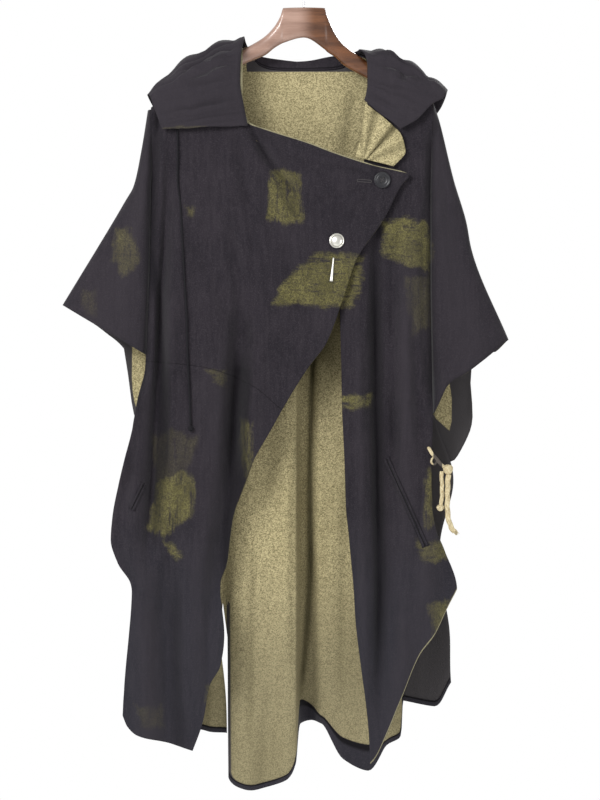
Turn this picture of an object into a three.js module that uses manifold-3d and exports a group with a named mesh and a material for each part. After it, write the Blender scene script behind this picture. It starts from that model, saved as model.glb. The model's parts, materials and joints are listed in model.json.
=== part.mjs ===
// A wool cloak with a wide turned-down collar, hanging closed on a wooden hanger.
//
// Millimetres, +Z up. The origin is where the hook's inside rests on a rail, +X is to the right of a
// person who faces the cloak, and -Y is towards that person. `drop` is the distance below the origin.
// Each cloth piece is a wall: a grid of points taken from tables of the piece's edges and folds, moved
// half the cloth's thickness each way along its normals and closed round the rim.

import * as THREE from "three";
import { mergeVertices } from "three/addons/utils/BufferGeometryUtils.js";
import Module from "manifold-3d";

const wasm = await Module();
wasm.setup();

// Driving sizes
const CLOTH = 2.0; // double-faced wool
const SEAM = 0.3; // clearance between sewn pieces
const PROUD = 0.9; // clearance below a trim that lies on a wall's facets
const BINDING_THICK = 1.0; // black edge binding inside the back's hem

const ARM_ROUND = 15; // radius of the cloth's turn over the hanger's arm
const PAST_ARM = 0.87; // slope of the shoulder seam past the arm's end

const BLACK_WOOL = { color: 0x2a272d, roughness: 0.95 };
const OLIVE_WOOL = { color: 0x847a4e, roughness: 0.95 };
const WOOD = { color: 0x6b3a1f, roughness: 0.35 };
const STEEL = { color: 0x9a9a9c, roughness: 0.3, metalness: 1 };
const SILVER = { color: 0xd8d6ce, roughness: 0.3, metalness: 1 };
const HORN = { color: 0x1c1c20, roughness: 0.35 };
const ROPE = { color: 0xd9cfa6, roughness: 0.9 };
const BRAID = { color: 0x222026, roughness: 0.9 };

// Small maths

const lerp = (a, b, t) => a + (b - a) * t;
const clamp = (t, low = 0, high = 1) => Math.min(high, Math.max(low, t));
const ease = (t) => clamp(t) ** 2 * (3 - 2 * clamp(t));
const bell = (t) => Math.exp(-t * t);

// The value of one column of a table at a place along its first column, on a smooth curve that
// doesn't overshoot the rows.
function column(rows, along, name, at) {
  const last = rows.length - 1;
  if (at <= rows[0][along]) return rows[0][name];
  if (at >= rows[last][along]) return rows[last][name];
  const step = (i) => rows[i + 1][along] - rows[i][along];
  const slope = (i) => (rows[i + 1][name] - rows[i][name]) / step(i);
  const tangent = (i) => {
    if (i === 0) return slope(0);
    if (i === last) return slope(last - 1);
    const before = slope(i - 1);
    const after = slope(i);
    return before * after <= 0 ? 0 : (2 * before * after) / (before + after);
  };
  let i = 0;
  while (at > rows[i + 1][along]) i += 1;
  const wide = step(i);
  const t = (at - rows[i][along]) / wide;
  const rise = t * t * (3 - 2 * t);
  const lead = t * (1 - t) ** 2 * wide * tangent(i);
  const trail = t * t * (t - 1) * wide * tangent(i + 1);
  return lerp(rows[i][name], rows[i + 1][name], rise) + lead + trail;
}

const share = (n, pull = 0.5) =>
  Array.from({ length: n + 1 }, (_, i) =>
    lerp(i / n, (1 - Math.cos((Math.PI * i) / n)) / 2, pull),
  );

// The hanger's outline from the front, and half its depth: its right arm hangs a little lower.
const HANGER = [
  { x: -222, top: 227, under: 245, half: 14 },
  { x: -190, top: 207, under: 231, half: 15 },
  { x: -150, top: 184, under: 210, half: 13 },
  { x: -99, top: 154, under: 180, half: 11 },
  { x: -66, top: 134, under: 166, half: 10 },
  { x: -49, top: 116, under: 153, half: 10 },
  { x: -39, top: 98, under: 147, half: 10 },
  { x: -35, top: 86, under: 145, half: 9 },
  { x: 0, top: 85, under: 136, half: 9 },
  { x: 35, top: 86, under: 156, half: 9 },
  { x: 39, top: 98, under: 160, half: 10 },
  { x: 51, top: 126, under: 168, half: 10 },
  { x: 66, top: 147, under: 182, half: 10 },
  { x: 99, top: 171, under: 201, half: 11 },
  { x: 150, top: 200, under: 226, half: 13 },
  { x: 180, top: 215, under: 240, half: 15 },
  { x: 206, top: 229, under: 247, half: 14 },
];
const ARM_LEFT = HANGER[0].x;
const ARM_RIGHT = HANGER[HANGER.length - 1].x;

// The line over the hanger's arms that both shoulder seams follow.
function shoulder(x) {
  const past = Math.max(0, ARM_LEFT - x, x - ARM_RIGHT);
  return column(HANGER, "x", "top", x) - CLOTH - 1 + PAST_ARM * past;
}

// How far out on one side the shoulder seam is at a drop.
function reach(drop, side) {
  let near = 40;
  let far = 320;
  for (let i = 0; i < 30; i += 1) {
    const middle = (near + far) / 2;
    if (shoulder(side * middle) < drop) near = middle;
    else far = middle;
  }
  return near;
}

// 0 on the shoulder seam, rising to 1 where the cloth has turned over the arm and hangs.
function turned(x, drop) {
  const t = clamp((drop - shoulder(x)) / ARM_ROUND);
  return Math.sqrt(1 - (1 - t) ** 2);
}

// Adds up a piece's folds: each row is a ridge (deep above 0) or a valley that wanders from x0 at
// drop `from` to x1 at drop `to`, and is as wide as `left` and `right` on its two sides.
function folds(rows, x, drop) {
  let sum = 0;
  for (const fold of rows) {
    const run = (drop - fold.from) / (fold.to - fold.from);
    const centre = lerp(fold.x0, fold.x1, run);
    const wide = x < centre ? fold.left : fold.right;
    const grows = ease(run / 0.35) * ease((1 + (fold.tail ?? 0.1) - run) / 0.25);
    sum += fold.deep * grows * bell((x - centre) / wide);
  }
  return sum;
}

// Walls

// A grid of points over two lists of shares, with the normals that face a viewer of its outside.
function gridOf(us, vs, place, side, sewn = () => undefined) {
  const points = vs.map((v) => us.map((u) => place(u, v)));
  const normals = points.map((row, j) =>
    row.map((_, i) => {
      const across = new THREE.Vector3().subVectors(
        row[Math.min(i + 1, us.length - 1)],
        row[Math.max(i - 1, 0)],
      );
      const down = new THREE.Vector3().subVectors(
        points[Math.min(j + 1, vs.length - 1)][i],
        points[Math.max(j - 1, 0)][i],
      );
      const normal = down.cross(across).multiplyScalar(side);
      const along = sewn(i, j, row.length, points.length);
      if (along) normal[along] = 0;
      return normal.normalize();
    }),
  );
  return { us, vs, points, normals, side };
}

// The rows of a grid from one to another, their ends moved down by a little.
function rowsOf(grid, first, last, lowerFirst = 0, lowerLast = 0) {
  const points = grid.points.slice(first, last + 1).map((row) => row.map((p) => p.clone()));
  points[0].forEach((p) => (p.z -= lowerFirst));
  points[points.length - 1].forEach((p) => (p.z -= lowerLast));
  return {
    ...grid,
    vs: grid.vs.slice(first, last + 1),
    points,
    normals: grid.normals.slice(first, last + 1),
  };
}

// The closed solid between a grid moved `out` along its normals and the same grid moved `back`.
// Cells that `cut` names are left out.
function wall(grid, out = CLOTH / 2, back = -CLOTH / 2, cut = () => false) {
  const rows = grid.vs.length;
  const columns = grid.us.length;
  const position = [];
  for (const away of [out, back]) {
    grid.points.forEach((row, j) =>
      row.forEach((p, i) => position.push(...p.clone().addScaledVector(grid.normals[j][i], away))),
    );
  }
  const index = [];
  const quad = (a, b, c, d) =>
    grid.side > 0 ? index.push(a, b, c, a, c, d) : index.push(a, c, b, a, d, c);
  const at = (layer, j, i) => layer * rows * columns + j * columns + i;
  const rim = (a, b) => quad(at(0, ...a), at(0, ...b), at(1, ...b), at(1, ...a));
  const cloth = (j, i) => j >= 0 && i >= 0 && j < rows - 1 && i < columns - 1 && !cut(j, i);
  for (let j = 0; j < rows - 1; j += 1) {
    for (let i = 0; i < columns - 1; i += 1) {
      if (!cloth(j, i)) continue;
      quad(at(0, j, i), at(0, j + 1, i), at(0, j + 1, i + 1), at(0, j, i + 1));
      quad(at(1, j, i), at(1, j, i + 1), at(1, j + 1, i + 1), at(1, j + 1, i));
      if (!cloth(j - 1, i)) rim([j, i], [j, i + 1]);
      if (!cloth(j + 1, i)) rim([j + 1, i + 1], [j + 1, i]);
      if (!cloth(j, i - 1)) rim([j + 1, i], [j, i]);
      if (!cloth(j, i + 1)) rim([j, i + 1], [j + 1, i + 1]);
    }
  }
  return solid(position, index);
}

// A body of the points that its triangles use.
function solid(position, index) {
  const kept = new Map();
  const used = [];
  const renumbered = index.map((n) => {
    if (!kept.has(n)) {
      kept.set(n, kept.size);
      used.push(...position.slice(3 * n, 3 * n + 3));
    }
    return kept.get(n);
  });
  return new THREE.BufferGeometry()
    .setAttribute("position", new THREE.Float32BufferAttribute(used, 3))
    .setIndex(renumbered);
}

// A grid's own point and normal at a pair of shares, read between its facets' corners.
function onGrid(grid, u, v) {
  const cell = (list, t) => {
    let k = 0;
    while (k < list.length - 2 && t > list[k + 1]) k += 1;
    return [k, (t - list[k]) / (list[k + 1] - list[k])];
  };
  const [i, a] = cell(grid.us, u);
  const [j, b] = cell(grid.vs, v);
  const blend = (field) =>
    new THREE.Vector3()
      .lerpVectors(field[j][i], field[j][i + 1], a)
      .lerp(new THREE.Vector3().lerpVectors(field[j + 1][i], field[j + 1][i + 1], a), b);
  return { point: blend(grid.points), normal: blend(grid.normals).normalize() };
}

const cloak = new THREE.Group();

function add(name, geometry, finish, parent = cloak) {
  const mesh = new THREE.Mesh(geometry, new THREE.MeshStandardMaterial(finish));
  mesh.name = name;
  parent.add(mesh);
  return mesh;
}

// Front panels: each is given by its two edges at a drop, its waist and hem across, and its folds.
// Its armhole side is on one side of it; the shoulder seam bounds it above that.
function frontPanel({ edges, side, top, waist, hem, base, list, us, upper, lower }) {
  const spread = (drop) => {
    const left = column(edges, "drop", "left", drop);
    const right = column(edges, "drop", "right", drop);
    return side < 0
      ? [Math.max(left, -reach(drop, -1)), right]
      : [left, Math.min(right, reach(drop, 1))];
  };
  const depth = (x, drop) => {
    const [left, right] = spread(drop);
    const toSeam = side < 0 ? x - left : right - x;
    const tuck = 0.55 * bell(toSeam / 10) * ease((760 - drop) / 60) * ease((drop - 275) / 50);
    return (base(x, drop) + folds(list, x, drop)) * (1 - tuck);
  };
  const at = (x, drop) => new THREE.Vector3(x, -SEAM - turned(x, drop) * depth(x, drop), -drop);
  const dropAt = (u, v) => (v <= 1 ? lerp(top, waist(u), v) : lerp(waist(u), hem(u), v - 1));
  const place = (u, v) => {
    const drop = dropAt(u, v);
    return at(lerp(...spread(drop), u), drop);
  };
  const vs = [...upper.map((drop) => (drop - top) / (waist(side < 0 ? 0 : 1) - top)), 1, ...lower];
  const sewn = (i, j, columns) => {
    if (j === 0) return "y";
    if (i !== (side < 0 ? 0 : columns - 1)) return undefined;
    const drop = dropAt(us[i], vs[j]);
    return drop < shoulder(side < 0 ? -257 : 214) ? "y" : "x";
  };
  const grid = gridOf(us, vs, place, 1, sewn);
  const row = vs.indexOf(1);
  // The grid's shares at an x and a drop, closed in on from a first guess.
  const find = (x, drop) => {
    let askX = x;
    let askDrop = drop;
    let shares = [0, 0];
    for (let i = 0; i < 12; i += 1) {
      const [left, right] = spread(askDrop);
      const u = clamp((askX - left) / (right - left));
      const v = askDrop < waist(u)
        ? (askDrop - top) / (waist(u) - top)
        : 1 + (askDrop - waist(u)) / (hem(u) - waist(u));
      shares = [u, clamp(v, 0, 2)];
      const { point } = onGrid(grid, ...shares);
      askX += x - point.x;
      askDrop += drop + point.z;
    }
    return shares;
  };
  return {
    grid,
    find,
    at,
    spread,
    bodice: rowsOf(grid, 0, row, 0, -SEAM / 2),
    skirt: rowsOf(grid, row, vs.length - 1, SEAM / 2, 0),
  };
}

// Right front, worn across the chest: its neck edge runs down to the button, and its front edge
// sweeps back from there to the hem. It is cut through at a slanting waist seam.
const RIGHT_EDGES = [
  { drop: 157, left: -258, right: -103 },
  { drop: 230, left: -258, right: -103 },
  { drop: 262, left: -256, right: -99 },
  { drop: 280, left: -256, right: -91 },
  { drop: 293, left: -256, right: -58 },
  { drop: 315, left: -256, right: 12 },
  { drop: 333, left: -256, right: 58 },
  { drop: 353, left: -256, right: 121 },
  { drop: 368, left: -256, right: 177 },
  { drop: 386, left: -257, right: 163 },
  { drop: 442, left: -258, right: 134 },
  { drop: 512, left: -259, right: 87 },
  { drop: 574, left: -261, right: 66 },
  { drop: 649, left: -264, right: 38 },
  { drop: 690, left: -266, right: 8 },
  { drop: 740, left: -277, right: -24 },
  { drop: 798, left: -288, right: -57 },
  { drop: 844, left: -300, right: -83 },
  { drop: 882, left: -309, right: -97 },
  { drop: 939, left: -320, right: -117 },
  { drop: 978, left: -323, right: -123 },
  { drop: 1018, left: -311, right: -128 },
  { drop: 1053, left: -289, right: -140 },
  { drop: 1066, left: -287, right: -140 },
  { drop: 1091, left: -288, right: -137 },
  { drop: 1137, left: -292, right: -133 },
  { drop: 1187, left: -297, right: -139 },
  { drop: 1224, left: -300, right: -158 },
  { drop: 1283, left: -303, right: -169 },
  { drop: 1331, left: -303, right: -186 },
];
const RIGHT_WAIST = [
  { share: 0, drop: 680 },
  { share: 0.31, drop: 688 },
  { share: 0.66, drop: 715 },
  { share: 1, drop: 762 },
];
const RIGHT_HEM = [
  { share: 0, drop: 1272 },
  { share: 0.06, drop: 1290 },
  { share: 0.2, drop: 1305 },
  { share: 0.55, drop: 1316 },
  { share: 1, drop: 1331 },
];
const RIGHT_FOLDS = [
  { name: "side ridge", from: 250, x0: -246, to: 1010, x1: -286, deep: 8, left: 10, right: 9 },
  { name: "side valley", from: 262, x0: -222, to: 990, x1: -262, deep: -19, left: 7, right: 13 },
  { name: "cord ridge", from: 300, x0: -208, to: 900, x1: -226, deep: 6, left: 10, right: 22 },
  { name: "chest crease", from: 278, x0: -96, to: 440, x1: -10, deep: -9, left: 7, right: 15 },
  { name: "chest roll", from: 300, x0: -66, to: 560, x1: 4, deep: 6, left: 14, right: 30 },
  { name: "middle roll", from: 420, x0: -158, to: 1240, x1: -176, deep: 8, left: 26, right: 24 },
  { name: "front valley", from: 520, x0: -100, to: 1080, x1: -140, deep: -26, left: 17, right: 17 },
  { name: "front roll", from: 560, x0: -62, to: 860, x1: -98, deep: 7, left: 14, right: 22 },
  { name: "low side roll", from: 940, x0: -272, to: 1400, x1: -262, deep: 12, left: 24, right: 22 },
  { name: "low valley", from: 980, x0: -226, to: 1400, x1: -222, deep: -11, left: 20, right: 18 },
];
const rightFront = frontPanel({
  edges: RIGHT_EDGES,
  side: -1,
  top: shoulder(-104) + 0.5,
  waist: (u) => column(RIGHT_WAIST, "share", "drop", u),
  hem: (u) => column(RIGHT_HEM, "share", "drop", u),
  base: (x, drop) =>
    24 + 18 * ease((drop - 230) / 900) + 7 * ease((x + 20) / 90) * ease((drop - 300) / 60),
  list: RIGHT_FOLDS,
  us: share(22, 0.35),
  upper: [153.6, 162, 176, 196, 220, 246, 262, 274, 286, 300, 318, 336, 360, 392, 430, 480, 530, 580, 630],
  lower: share(13, 0).slice(1).map((v) => 1 + v),
});
add("right_front_bodice", wall(rightFront.bodice), BLACK_WOOL);
add("right_front_skirt", wall(rightFront.skirt), BLACK_WOOL);

// Left front, worn under the right: a straight front edge and a hem that slants up to the side.
const LEFT_EDGES = [
  { drop: 157, left: 106, right: 217 },
  { drop: 300, left: 106, right: 215 },
  { drop: 350, left: 99, right: 214 },
  { drop: 400, left: 75, right: 213 },
  { drop: 472, left: 60, right: 213 },
  { drop: 561, left: 59, right: 213 },
  { drop: 626, left: 61, right: 214 },
  { drop: 765, left: 64, right: 216 },
  { drop: 856, left: 68, right: 213 },
  { drop: 924, left: 70, right: 214 },
  { drop: 964, left: 74, right: 221 },
  { drop: 996, left: 77, right: 235 },
  { drop: 1061, left: 83, right: 256 },
  { drop: 1111, left: 86, right: 254 },
  { drop: 1187, left: 95, right: 254 },
  { drop: 1299, left: 108, right: 254 },
  { drop: 1354, left: 111, right: 254 },
];
const LEFT_WAIST = [
  { share: 0, drop: 726 },
  { share: 0.5, drop: 740 },
  { share: 1, drop: 762 },
];
const LEFT_HEM = [
  { share: 0, drop: 1354 },
  { share: 0.06, drop: 1344 },
  { share: 0.18, drop: 1312 },
  { share: 0.4, drop: 1243 },
  { share: 0.62, drop: 1172 },
  { share: 0.78, drop: 1138 },
  { share: 0.96, drop: 1076 },
  { share: 1, drop: 1062 },
];
const LEFT_FOLDS = [
  { name: "edge roll", from: 430, x0: 86, to: 1250, x1: 100, deep: 7, left: 16, right: 12 },
  { name: "front valley", from: 400, x0: 118, to: 1200, x1: 126, deep: -15, left: 8, right: 13 },
  { name: "middle roll", from: 360, x0: 168, to: 1000, x1: 172, deep: 9, left: 20, right: 22 },
  { name: "side valley", from: 640, x0: 146, to: 1150, x1: 150, deep: -7, left: 12, right: 12 },
  { name: "sleeve roll", from: 260, x0: 200, to: 760, x1: 203, deep: 5, left: 14, right: 8 },
  { name: "hip roll", from: 800, x0: 205, to: 1300, x1: 214, deep: 8, left: 22, right: 18 },
  { name: "low roll", from: 980, x0: 176, to: 1420, x1: 150, deep: 9, left: 20, right: 24 },
];
const leftFront = frontPanel({
  edges: LEFT_EDGES,
  side: 1,
  top: shoulder(107) + 0.5,
  waist: (u) => column(LEFT_WAIST, "share", "drop", u),
  hem: (u) => column(LEFT_HEM, "share", "drop", u),
  base: (x, drop) => 21 + 12 * ease((drop - 240) / 900),
  list: LEFT_FOLDS,
  us: share(16, 0.4),
  upper: [shoulder(107) + 0.5, 184, 206, 234, 256, 280, 320, 370, 420, 470, 520, 580, 640, 700],
  lower: share(12, 0).slice(1).map((v) => 1 + v),
});
add("left_front_bodice", wall(leftFront.bodice), BLACK_WOOL);
add("left_front_skirt", wall(leftFront.skirt), BLACK_WOOL);

// Back: one panel whose lines run from the shoulder or neck seam down to the hem. Its slit is between
// two of the lines, and its longest part hangs forward of a deep fold. `bind` is the width of the hem's
// black binding, which is deeper where the hem turns under.
const BACK_LINES = [
  { at: 0, top: -253, hem: -284, drop: 1264, deep: 30, bind: 9 },
  { at: 1, top: -234, hem: -260, drop: 1280, deep: 46, bind: 9 },
  { at: 2, top: -206, hem: -225, drop: 1296, deep: 60, bind: 9 },
  { at: 3, top: -172, hem: -172, drop: 1303, deep: 44, bind: 9 },
  { at: 4, top: -152, hem: -155, drop: 1306, deep: 32, bind: 9 },
  { at: 5, top: -138, hem: -130, drop: 1308, deep: 36, bind: 9 },
  { at: 6, top: -134, hem: -127, drop: 1382, deep: 30, bind: 9 },
  { at: 7, top: -118, hem: -108, drop: 1399, deep: 18, bind: 9 },
  { at: 8, top: -99, hem: -89, drop: 1403, deep: 16, bind: 9 },
  { at: 9, top: -62, hem: -62, drop: 1398, deep: 26, bind: 9 },
  { at: 10, top: -27, hem: -26, drop: 1382, deep: 12, bind: 9 },
  { at: 11, top: -16, hem: -15, drop: 1360, deep: 14, bind: 9 },
  { at: 12, top: -4, hem: -7, drop: 1294, deep: 56, bind: 40 },
  { at: 13, top: 10, hem: 13, drop: 1289, deep: 74, bind: 26 },
  { at: 14, top: 30, hem: 31, drop: 1294, deep: 56, bind: 13 },
  { at: 15, top: 64, hem: 66, drop: 1352, deep: 44, bind: 36 },
  { at: 16, top: 106, hem: 109, drop: 1372, deep: 40, bind: 44 },
  { at: 17, top: 126, hem: 140, drop: 1328, deep: 34, bind: 9 },
  { at: 18, top: 144, hem: 163, drop: 1313, deep: 38, bind: 9 },
  { at: 19, top: 158, hem: 168, drop: 1254, deep: 48, bind: 9 },
  { at: 20, top: 190, hem: 221, drop: 1263, deep: 40, bind: 9 },
  { at: 21, top: 210, hem: 247, drop: 1222, deep: 30, bind: 9 },
];
const SLIT_LINE = 5;
const SLIT_TOP = 960;
const NECK_TURNS = [8.04, 8.08, 8.14, 8.22, 15.66, 15.74, 15.81, 15.88]; // lines round the neck's ends
const backUs = [
  ...BACK_LINES.flatMap(({ at }) => (at === 0 || at === SLIT_LINE + 1 ? [at] : [at - 0.5, at])),
  ...NECK_TURNS,
].sort((a, b) => a - b);
const backVs = [0, 0.0015, 0.0055, 0.013, 0.06, 0.13, 0.21, 0.3, 0.39, 0.48, 0.57, 0.66, 0.75, 0.83,
  0.9, 0.955, 0.988, 1];

function neckLine(x) {
  return Math.min(189, Math.max(shoulder(x), 189 - 42 * Math.abs(x / 98) ** 6));
}

function backPlace(u, v) {
  const line = (name) => column(BACK_LINES, "at", name, u);
  const start = line("top");
  const top = Math.abs(start) < 99 ? neckLine(start) : shoulder(start);
  const drop = lerp(top, line("drop"), v);
  const aside = clamp((u - 19) / 2);
  const flare = v ** lerp(1, 3.5, aside);
  let x = lerp(start, line("hem"), flare) + 29 * aside ** 2 * bell((drop - 878) / 85);
  // The slit's left edge swings away from the longest part and back at the hem.
  const swing = bell((drop - 1180) / 95) * 13;
  x -= swing * bell((u - SLIT_LINE) / 0.8) * (u <= SLIT_LINE ? 1 : 0);
  const deep = lerp(28, line("deep"), ease(v * 1.1));
  const behind = Math.max(turned(x, drop), ease((99 - Math.abs(start)) / 8));
  return new THREE.Vector3(x, SEAM + behind * deep, -drop);
}
const backSewn = (i, j, columns) => {
  if (i === 0 || i === columns - 1) return j === 0 ? "y" : "x";
  return j === 0 && Math.abs(backPlace(backUs[i], 0).x) > 98 ? "y" : undefined;
};
const back = gridOf(backUs, backVs, backPlace, -1, backSewn);
const slitColumn = backUs.indexOf(SLIT_LINE);
add(
  "back",
  wall(back, CLOTH / 2, -CLOTH / 2, (j, i) => i === slitColumn && -back.points[j][i].z > SLIT_TOP),
  OLIVE_WOOL,
);

// Batwing sleeves: each goes from the front's armhole line out round the folded edge and back to the
// back's armhole line, and is open at its hem. The folded edge and both hems are given by tables.
function sleeve({ side, front, backAt, edge, seam, frontHem, backHem, bulge }) {
  const swell = (angle) => Math.abs(angle);
  const place = (u, v) => {
    const angle = swell(u) * (Math.PI / 2);
    const ahead = u < 0;
    const inward = 1 - Math.cos(angle);
    const drop0 = column(edge, "at", "drop", v);
    const x0 = column(edge, "at", "x", v);
    const low = ahead ? seam.frontLow : seam.backLow;
    const seamDrop = lerp(seam.high, low, v);
    const hem = ahead ? frontHem : backHem;
    const drop = lerp(drop0, seamDrop, inward) + column(hem, "in", "lower", inward) * v ** 3;
    const joint = ahead ? front(seamDrop) : backAt(seamDrop);
    const apart = SEAM + (ahead ? 0 : 4 * ease((seamDrop - 660) / 60));
    const x = lerp(x0, joint.x + side * apart, inward) + column(hem, "in", "out", inward) * v ** 3;
    const y = joint.y * Math.sin(angle) + (ahead ? -1 : 1) * bulge * Math.sin(2 * angle) * ease(v * 2);
    return new THREE.Vector3(x, y, -drop);
  };
  const us = share(16, 0).map((t) => 2 * t - 1);
  const vs = [0, 0.03, 0.08, 0.16, 0.25, 0.34, 0.43, 0.52, 0.61, 0.7, 0.78, 0.86, 0.93, 1];
  return gridOf(us, vs, place, -side, (i, j, columns) =>
    i === 0 || i === columns - 1 ? "x" : undefined,
  );
}

// The back's armhole line at a drop, on one side.
function backSide(u) {
  return (drop) => {
    let low = 0;
    let high = 1;
    for (let i = 0; i < 30; i += 1) {
      const v = (low + high) / 2;
      if (-backPlace(u, v).z < drop) low = v;
      else high = v;
    }
    return backPlace(u, low);
  };
}

const PLAIN_HEM = [
  { in: 0, lower: 0, out: 0 },
  { in: 1, lower: 0, out: 0 },
];
const sleeveRight = sleeve({
  side: -1,
  front: (drop) => rightFront.at(rightFront.spread(drop)[0], drop),
  backAt: backSide(0),
  edge: [
    { at: 0, x: -261.5, drop: 259 },
    { at: 0.2, x: -272, drop: 325 },
    { at: 0.4, x: -285, drop: 385 },
    { at: 0.5, x: -300, drop: 412 },
    { at: 1, x: -405, drop: 586 },
  ],
  seam: { high: 259, frontLow: 669, backLow: 792 },
  frontHem: PLAIN_HEM,
  backHem: [
    { in: 0, lower: 0, out: 0 },
    { in: 0.5, lower: -58, out: 2 },
    { in: 0.7, lower: -72, out: 6 },
    { in: 0.78, lower: 0, out: 8 },
    { in: 0.86, lower: 14, out: 4 },
    { in: 1, lower: 0, out: 0 },
  ],
  bulge: 13,
});
const sleeveLeft = sleeve({
  side: 1,
  front: (drop) => leftFront.at(leftFront.spread(drop)[1], drop),
  backAt: backSide(21),
  edge: [
    { at: 0, x: 219, drop: 244 },
    { at: 0.12, x: 230, drop: 275 },
    { at: 0.35, x: 254, drop: 376 },
    { at: 0.52, x: 272, drop: 446 },
    { at: 0.63, x: 281, drop: 493 },
    { at: 1, x: 343, drop: 644 },
  ],
  seam: { high: 244, frontLow: 770, backLow: 850 },
  frontHem: [
    { in: 0, lower: 0, out: 0 },
    { in: 0.54, lower: -14, out: 0 },
    { in: 0.8, lower: -26, out: 0 },
    { in: 0.96, lower: -4, out: 0 },
    { in: 1, lower: 0, out: 0 },
  ],
  backHem: [
    { in: 0, lower: 0, out: 0 },
    { in: 0.4, lower: -38, out: 0 },
    { in: 0.46, lower: -40, out: 0 },
    { in: 0.56, lower: 8, out: 4 },
    { in: 0.66, lower: 26, out: 15 },
    { in: 0.82, lower: 24, out: 14 },
    { in: 1, lower: 0, out: 0 },
  ],
  bulge: 12,
});
add("sleeve_right", wall(sleeveRight), BLACK_WOOL);
add("sleeve_left", wall(sleeveLeft), BLACK_WOOL);

// Collar: a wide fall that goes from the right front's neck edge over that shoulder, round the back of
// the neck and over the other shoulder. Each line of it runs out from the neck to its outer edge.
const COLLAR_LINES = [
  { at: 0.0, nx: -94, ny: -29, nd: 286, ox: -237, oy: -37, od: 292, puff: 0 },
  { at: 0.07, nx: -101, ny: -29, nd: 250, ox: -243, oy: -39, od: 277, puff: 0 },
  { at: 0.14, nx: -107, ny: -27, nd: 212, ox: -254, oy: -34, od: 246, puff: 5 },
  { at: 0.19, nx: -105, ny: -28, nd: 168, ox: -259, oy: -28, od: 234, puff: 14 },
  { at: 0.23, nx: -102, ny: -17, nd: 145, ox: -262, oy: -14, od: 232, puff: 18 },
  { at: 0.26, nx: -100, ny: 0, nd: 136, ox: -263, oy: 0, od: 231, puff: 20 },
  { at: 0.3, nx: -98, ny: 19, nd: 142, ox: -260, oy: 22, od: 238, puff: 18 },
  { at: 0.34, nx: -86, ny: 33, nd: 160, ox: -245, oy: 40, od: 262, puff: 12 },
  { at: 0.4, nx: -45, ny: 37, nd: 168, ox: -180, oy: 52, od: 296, puff: 5 },
  { at: 0.5, nx: 0, ny: 38, nd: 173, ox: 0, oy: 58, od: 318, puff: 0 },
  { at: 0.6, nx: 45, ny: 37, nd: 168, ox: 170, oy: 52, od: 296, puff: 5 },
  { at: 0.66, nx: 80, ny: 33, nd: 163, ox: 228, oy: 40, od: 256, puff: 10 },
  { at: 0.7, nx: 90, ny: 20, nd: 160, ox: 239, oy: 22, od: 232, puff: 15 },
  { at: 0.74, nx: 94, ny: 0, nd: 159, ox: 241, oy: 0, od: 223, puff: 18 },
  { at: 0.77, nx: 101, ny: -17, nd: 165, ox: 240, oy: -15, od: 226, puff: 15 },
  { at: 0.81, nx: 106, ny: -26, nd: 184, ox: 236, oy: -28, od: 236, puff: 10 },
  { at: 0.87, nx: 107, ny: -27, nd: 208, ox: 214, oy: -34, od: 250, puff: 4 },
  { at: 0.94, nx: 104, ny: -26, nd: 232, ox: 190, oy: -36, od: 275, puff: 0 },
  { at: 1.0, nx: 101, ny: -26, nd: 243, ox: 161, oy: -36, od: 292, puff: 0 },
];
function collarPlace(u, v) {
  const line = (name) => column(COLLAR_LINES, "at", name, u);
  const out = v ** 0.9;
  const gather = 2.6 * Math.sin(2 * Math.PI * (3.2 * v + 0.4)) * (line("puff") / 20);
  const rise = line("puff") * Math.sin(Math.PI * v ** 0.8) + gather;
  const sag = 5 * Math.sin(Math.PI * v) * Math.sign(line("oy")) * (1 - line("puff") / 20);
  return new THREE.Vector3(
    lerp(line("nx"), line("ox"), out),
    lerp(line("ny"), line("oy"), out) + sag,
    -lerp(line("nd"), line("od"), out) + rise,
  );
}
const collarUs = [0, 0.035, 0.07, 0.105, 0.14, 0.17, 0.2, 0.22, 0.24, 0.26, 0.28, 0.3, 0.33, 0.37, 0.41,
  0.455, 0.5, 0.545, 0.59, 0.63, 0.67, 0.7, 0.72, 0.74, 0.76, 0.78, 0.8, 0.835, 0.87, 0.905, 0.94, 0.97, 1];
const collar = gridOf(collarUs, share(9, 0), collarPlace, 1);
add("collar", wall(collar), BLACK_WOOL);

// Collar stand: the band between the back's neck seam and the collar's fold.
const STAND = 1.8;
const standUs = [8.4, ...backUs.filter((u) => u > 8.6 && u < 15.4), 15.65];
const standGrid = gridOf(
  standUs,
  [0, 0.33, 0.66, 1],
  (u, v) => {
    const foot = onGrid(back, u, 0).point;
    foot.z += 1;
    const run = (foot.x + 86) / (80 + 86);
    const top = collarPlace(lerp(0.345, 0.655, run), 0);
    const inward = new THREE.Vector3(-top.x * 0.4, -top.y, 0).setLength((CLOTH + STAND) / 2 + 1.6);
    return top.add(inward).lerp(foot, v);
  },
  1,
  (i, j, columns, rows) => (j === rows - 1 ? "z" : undefined),
);
add("collar_stand", wall(standGrid, STAND / 2, -STAND / 2), BLACK_WOOL);

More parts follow.
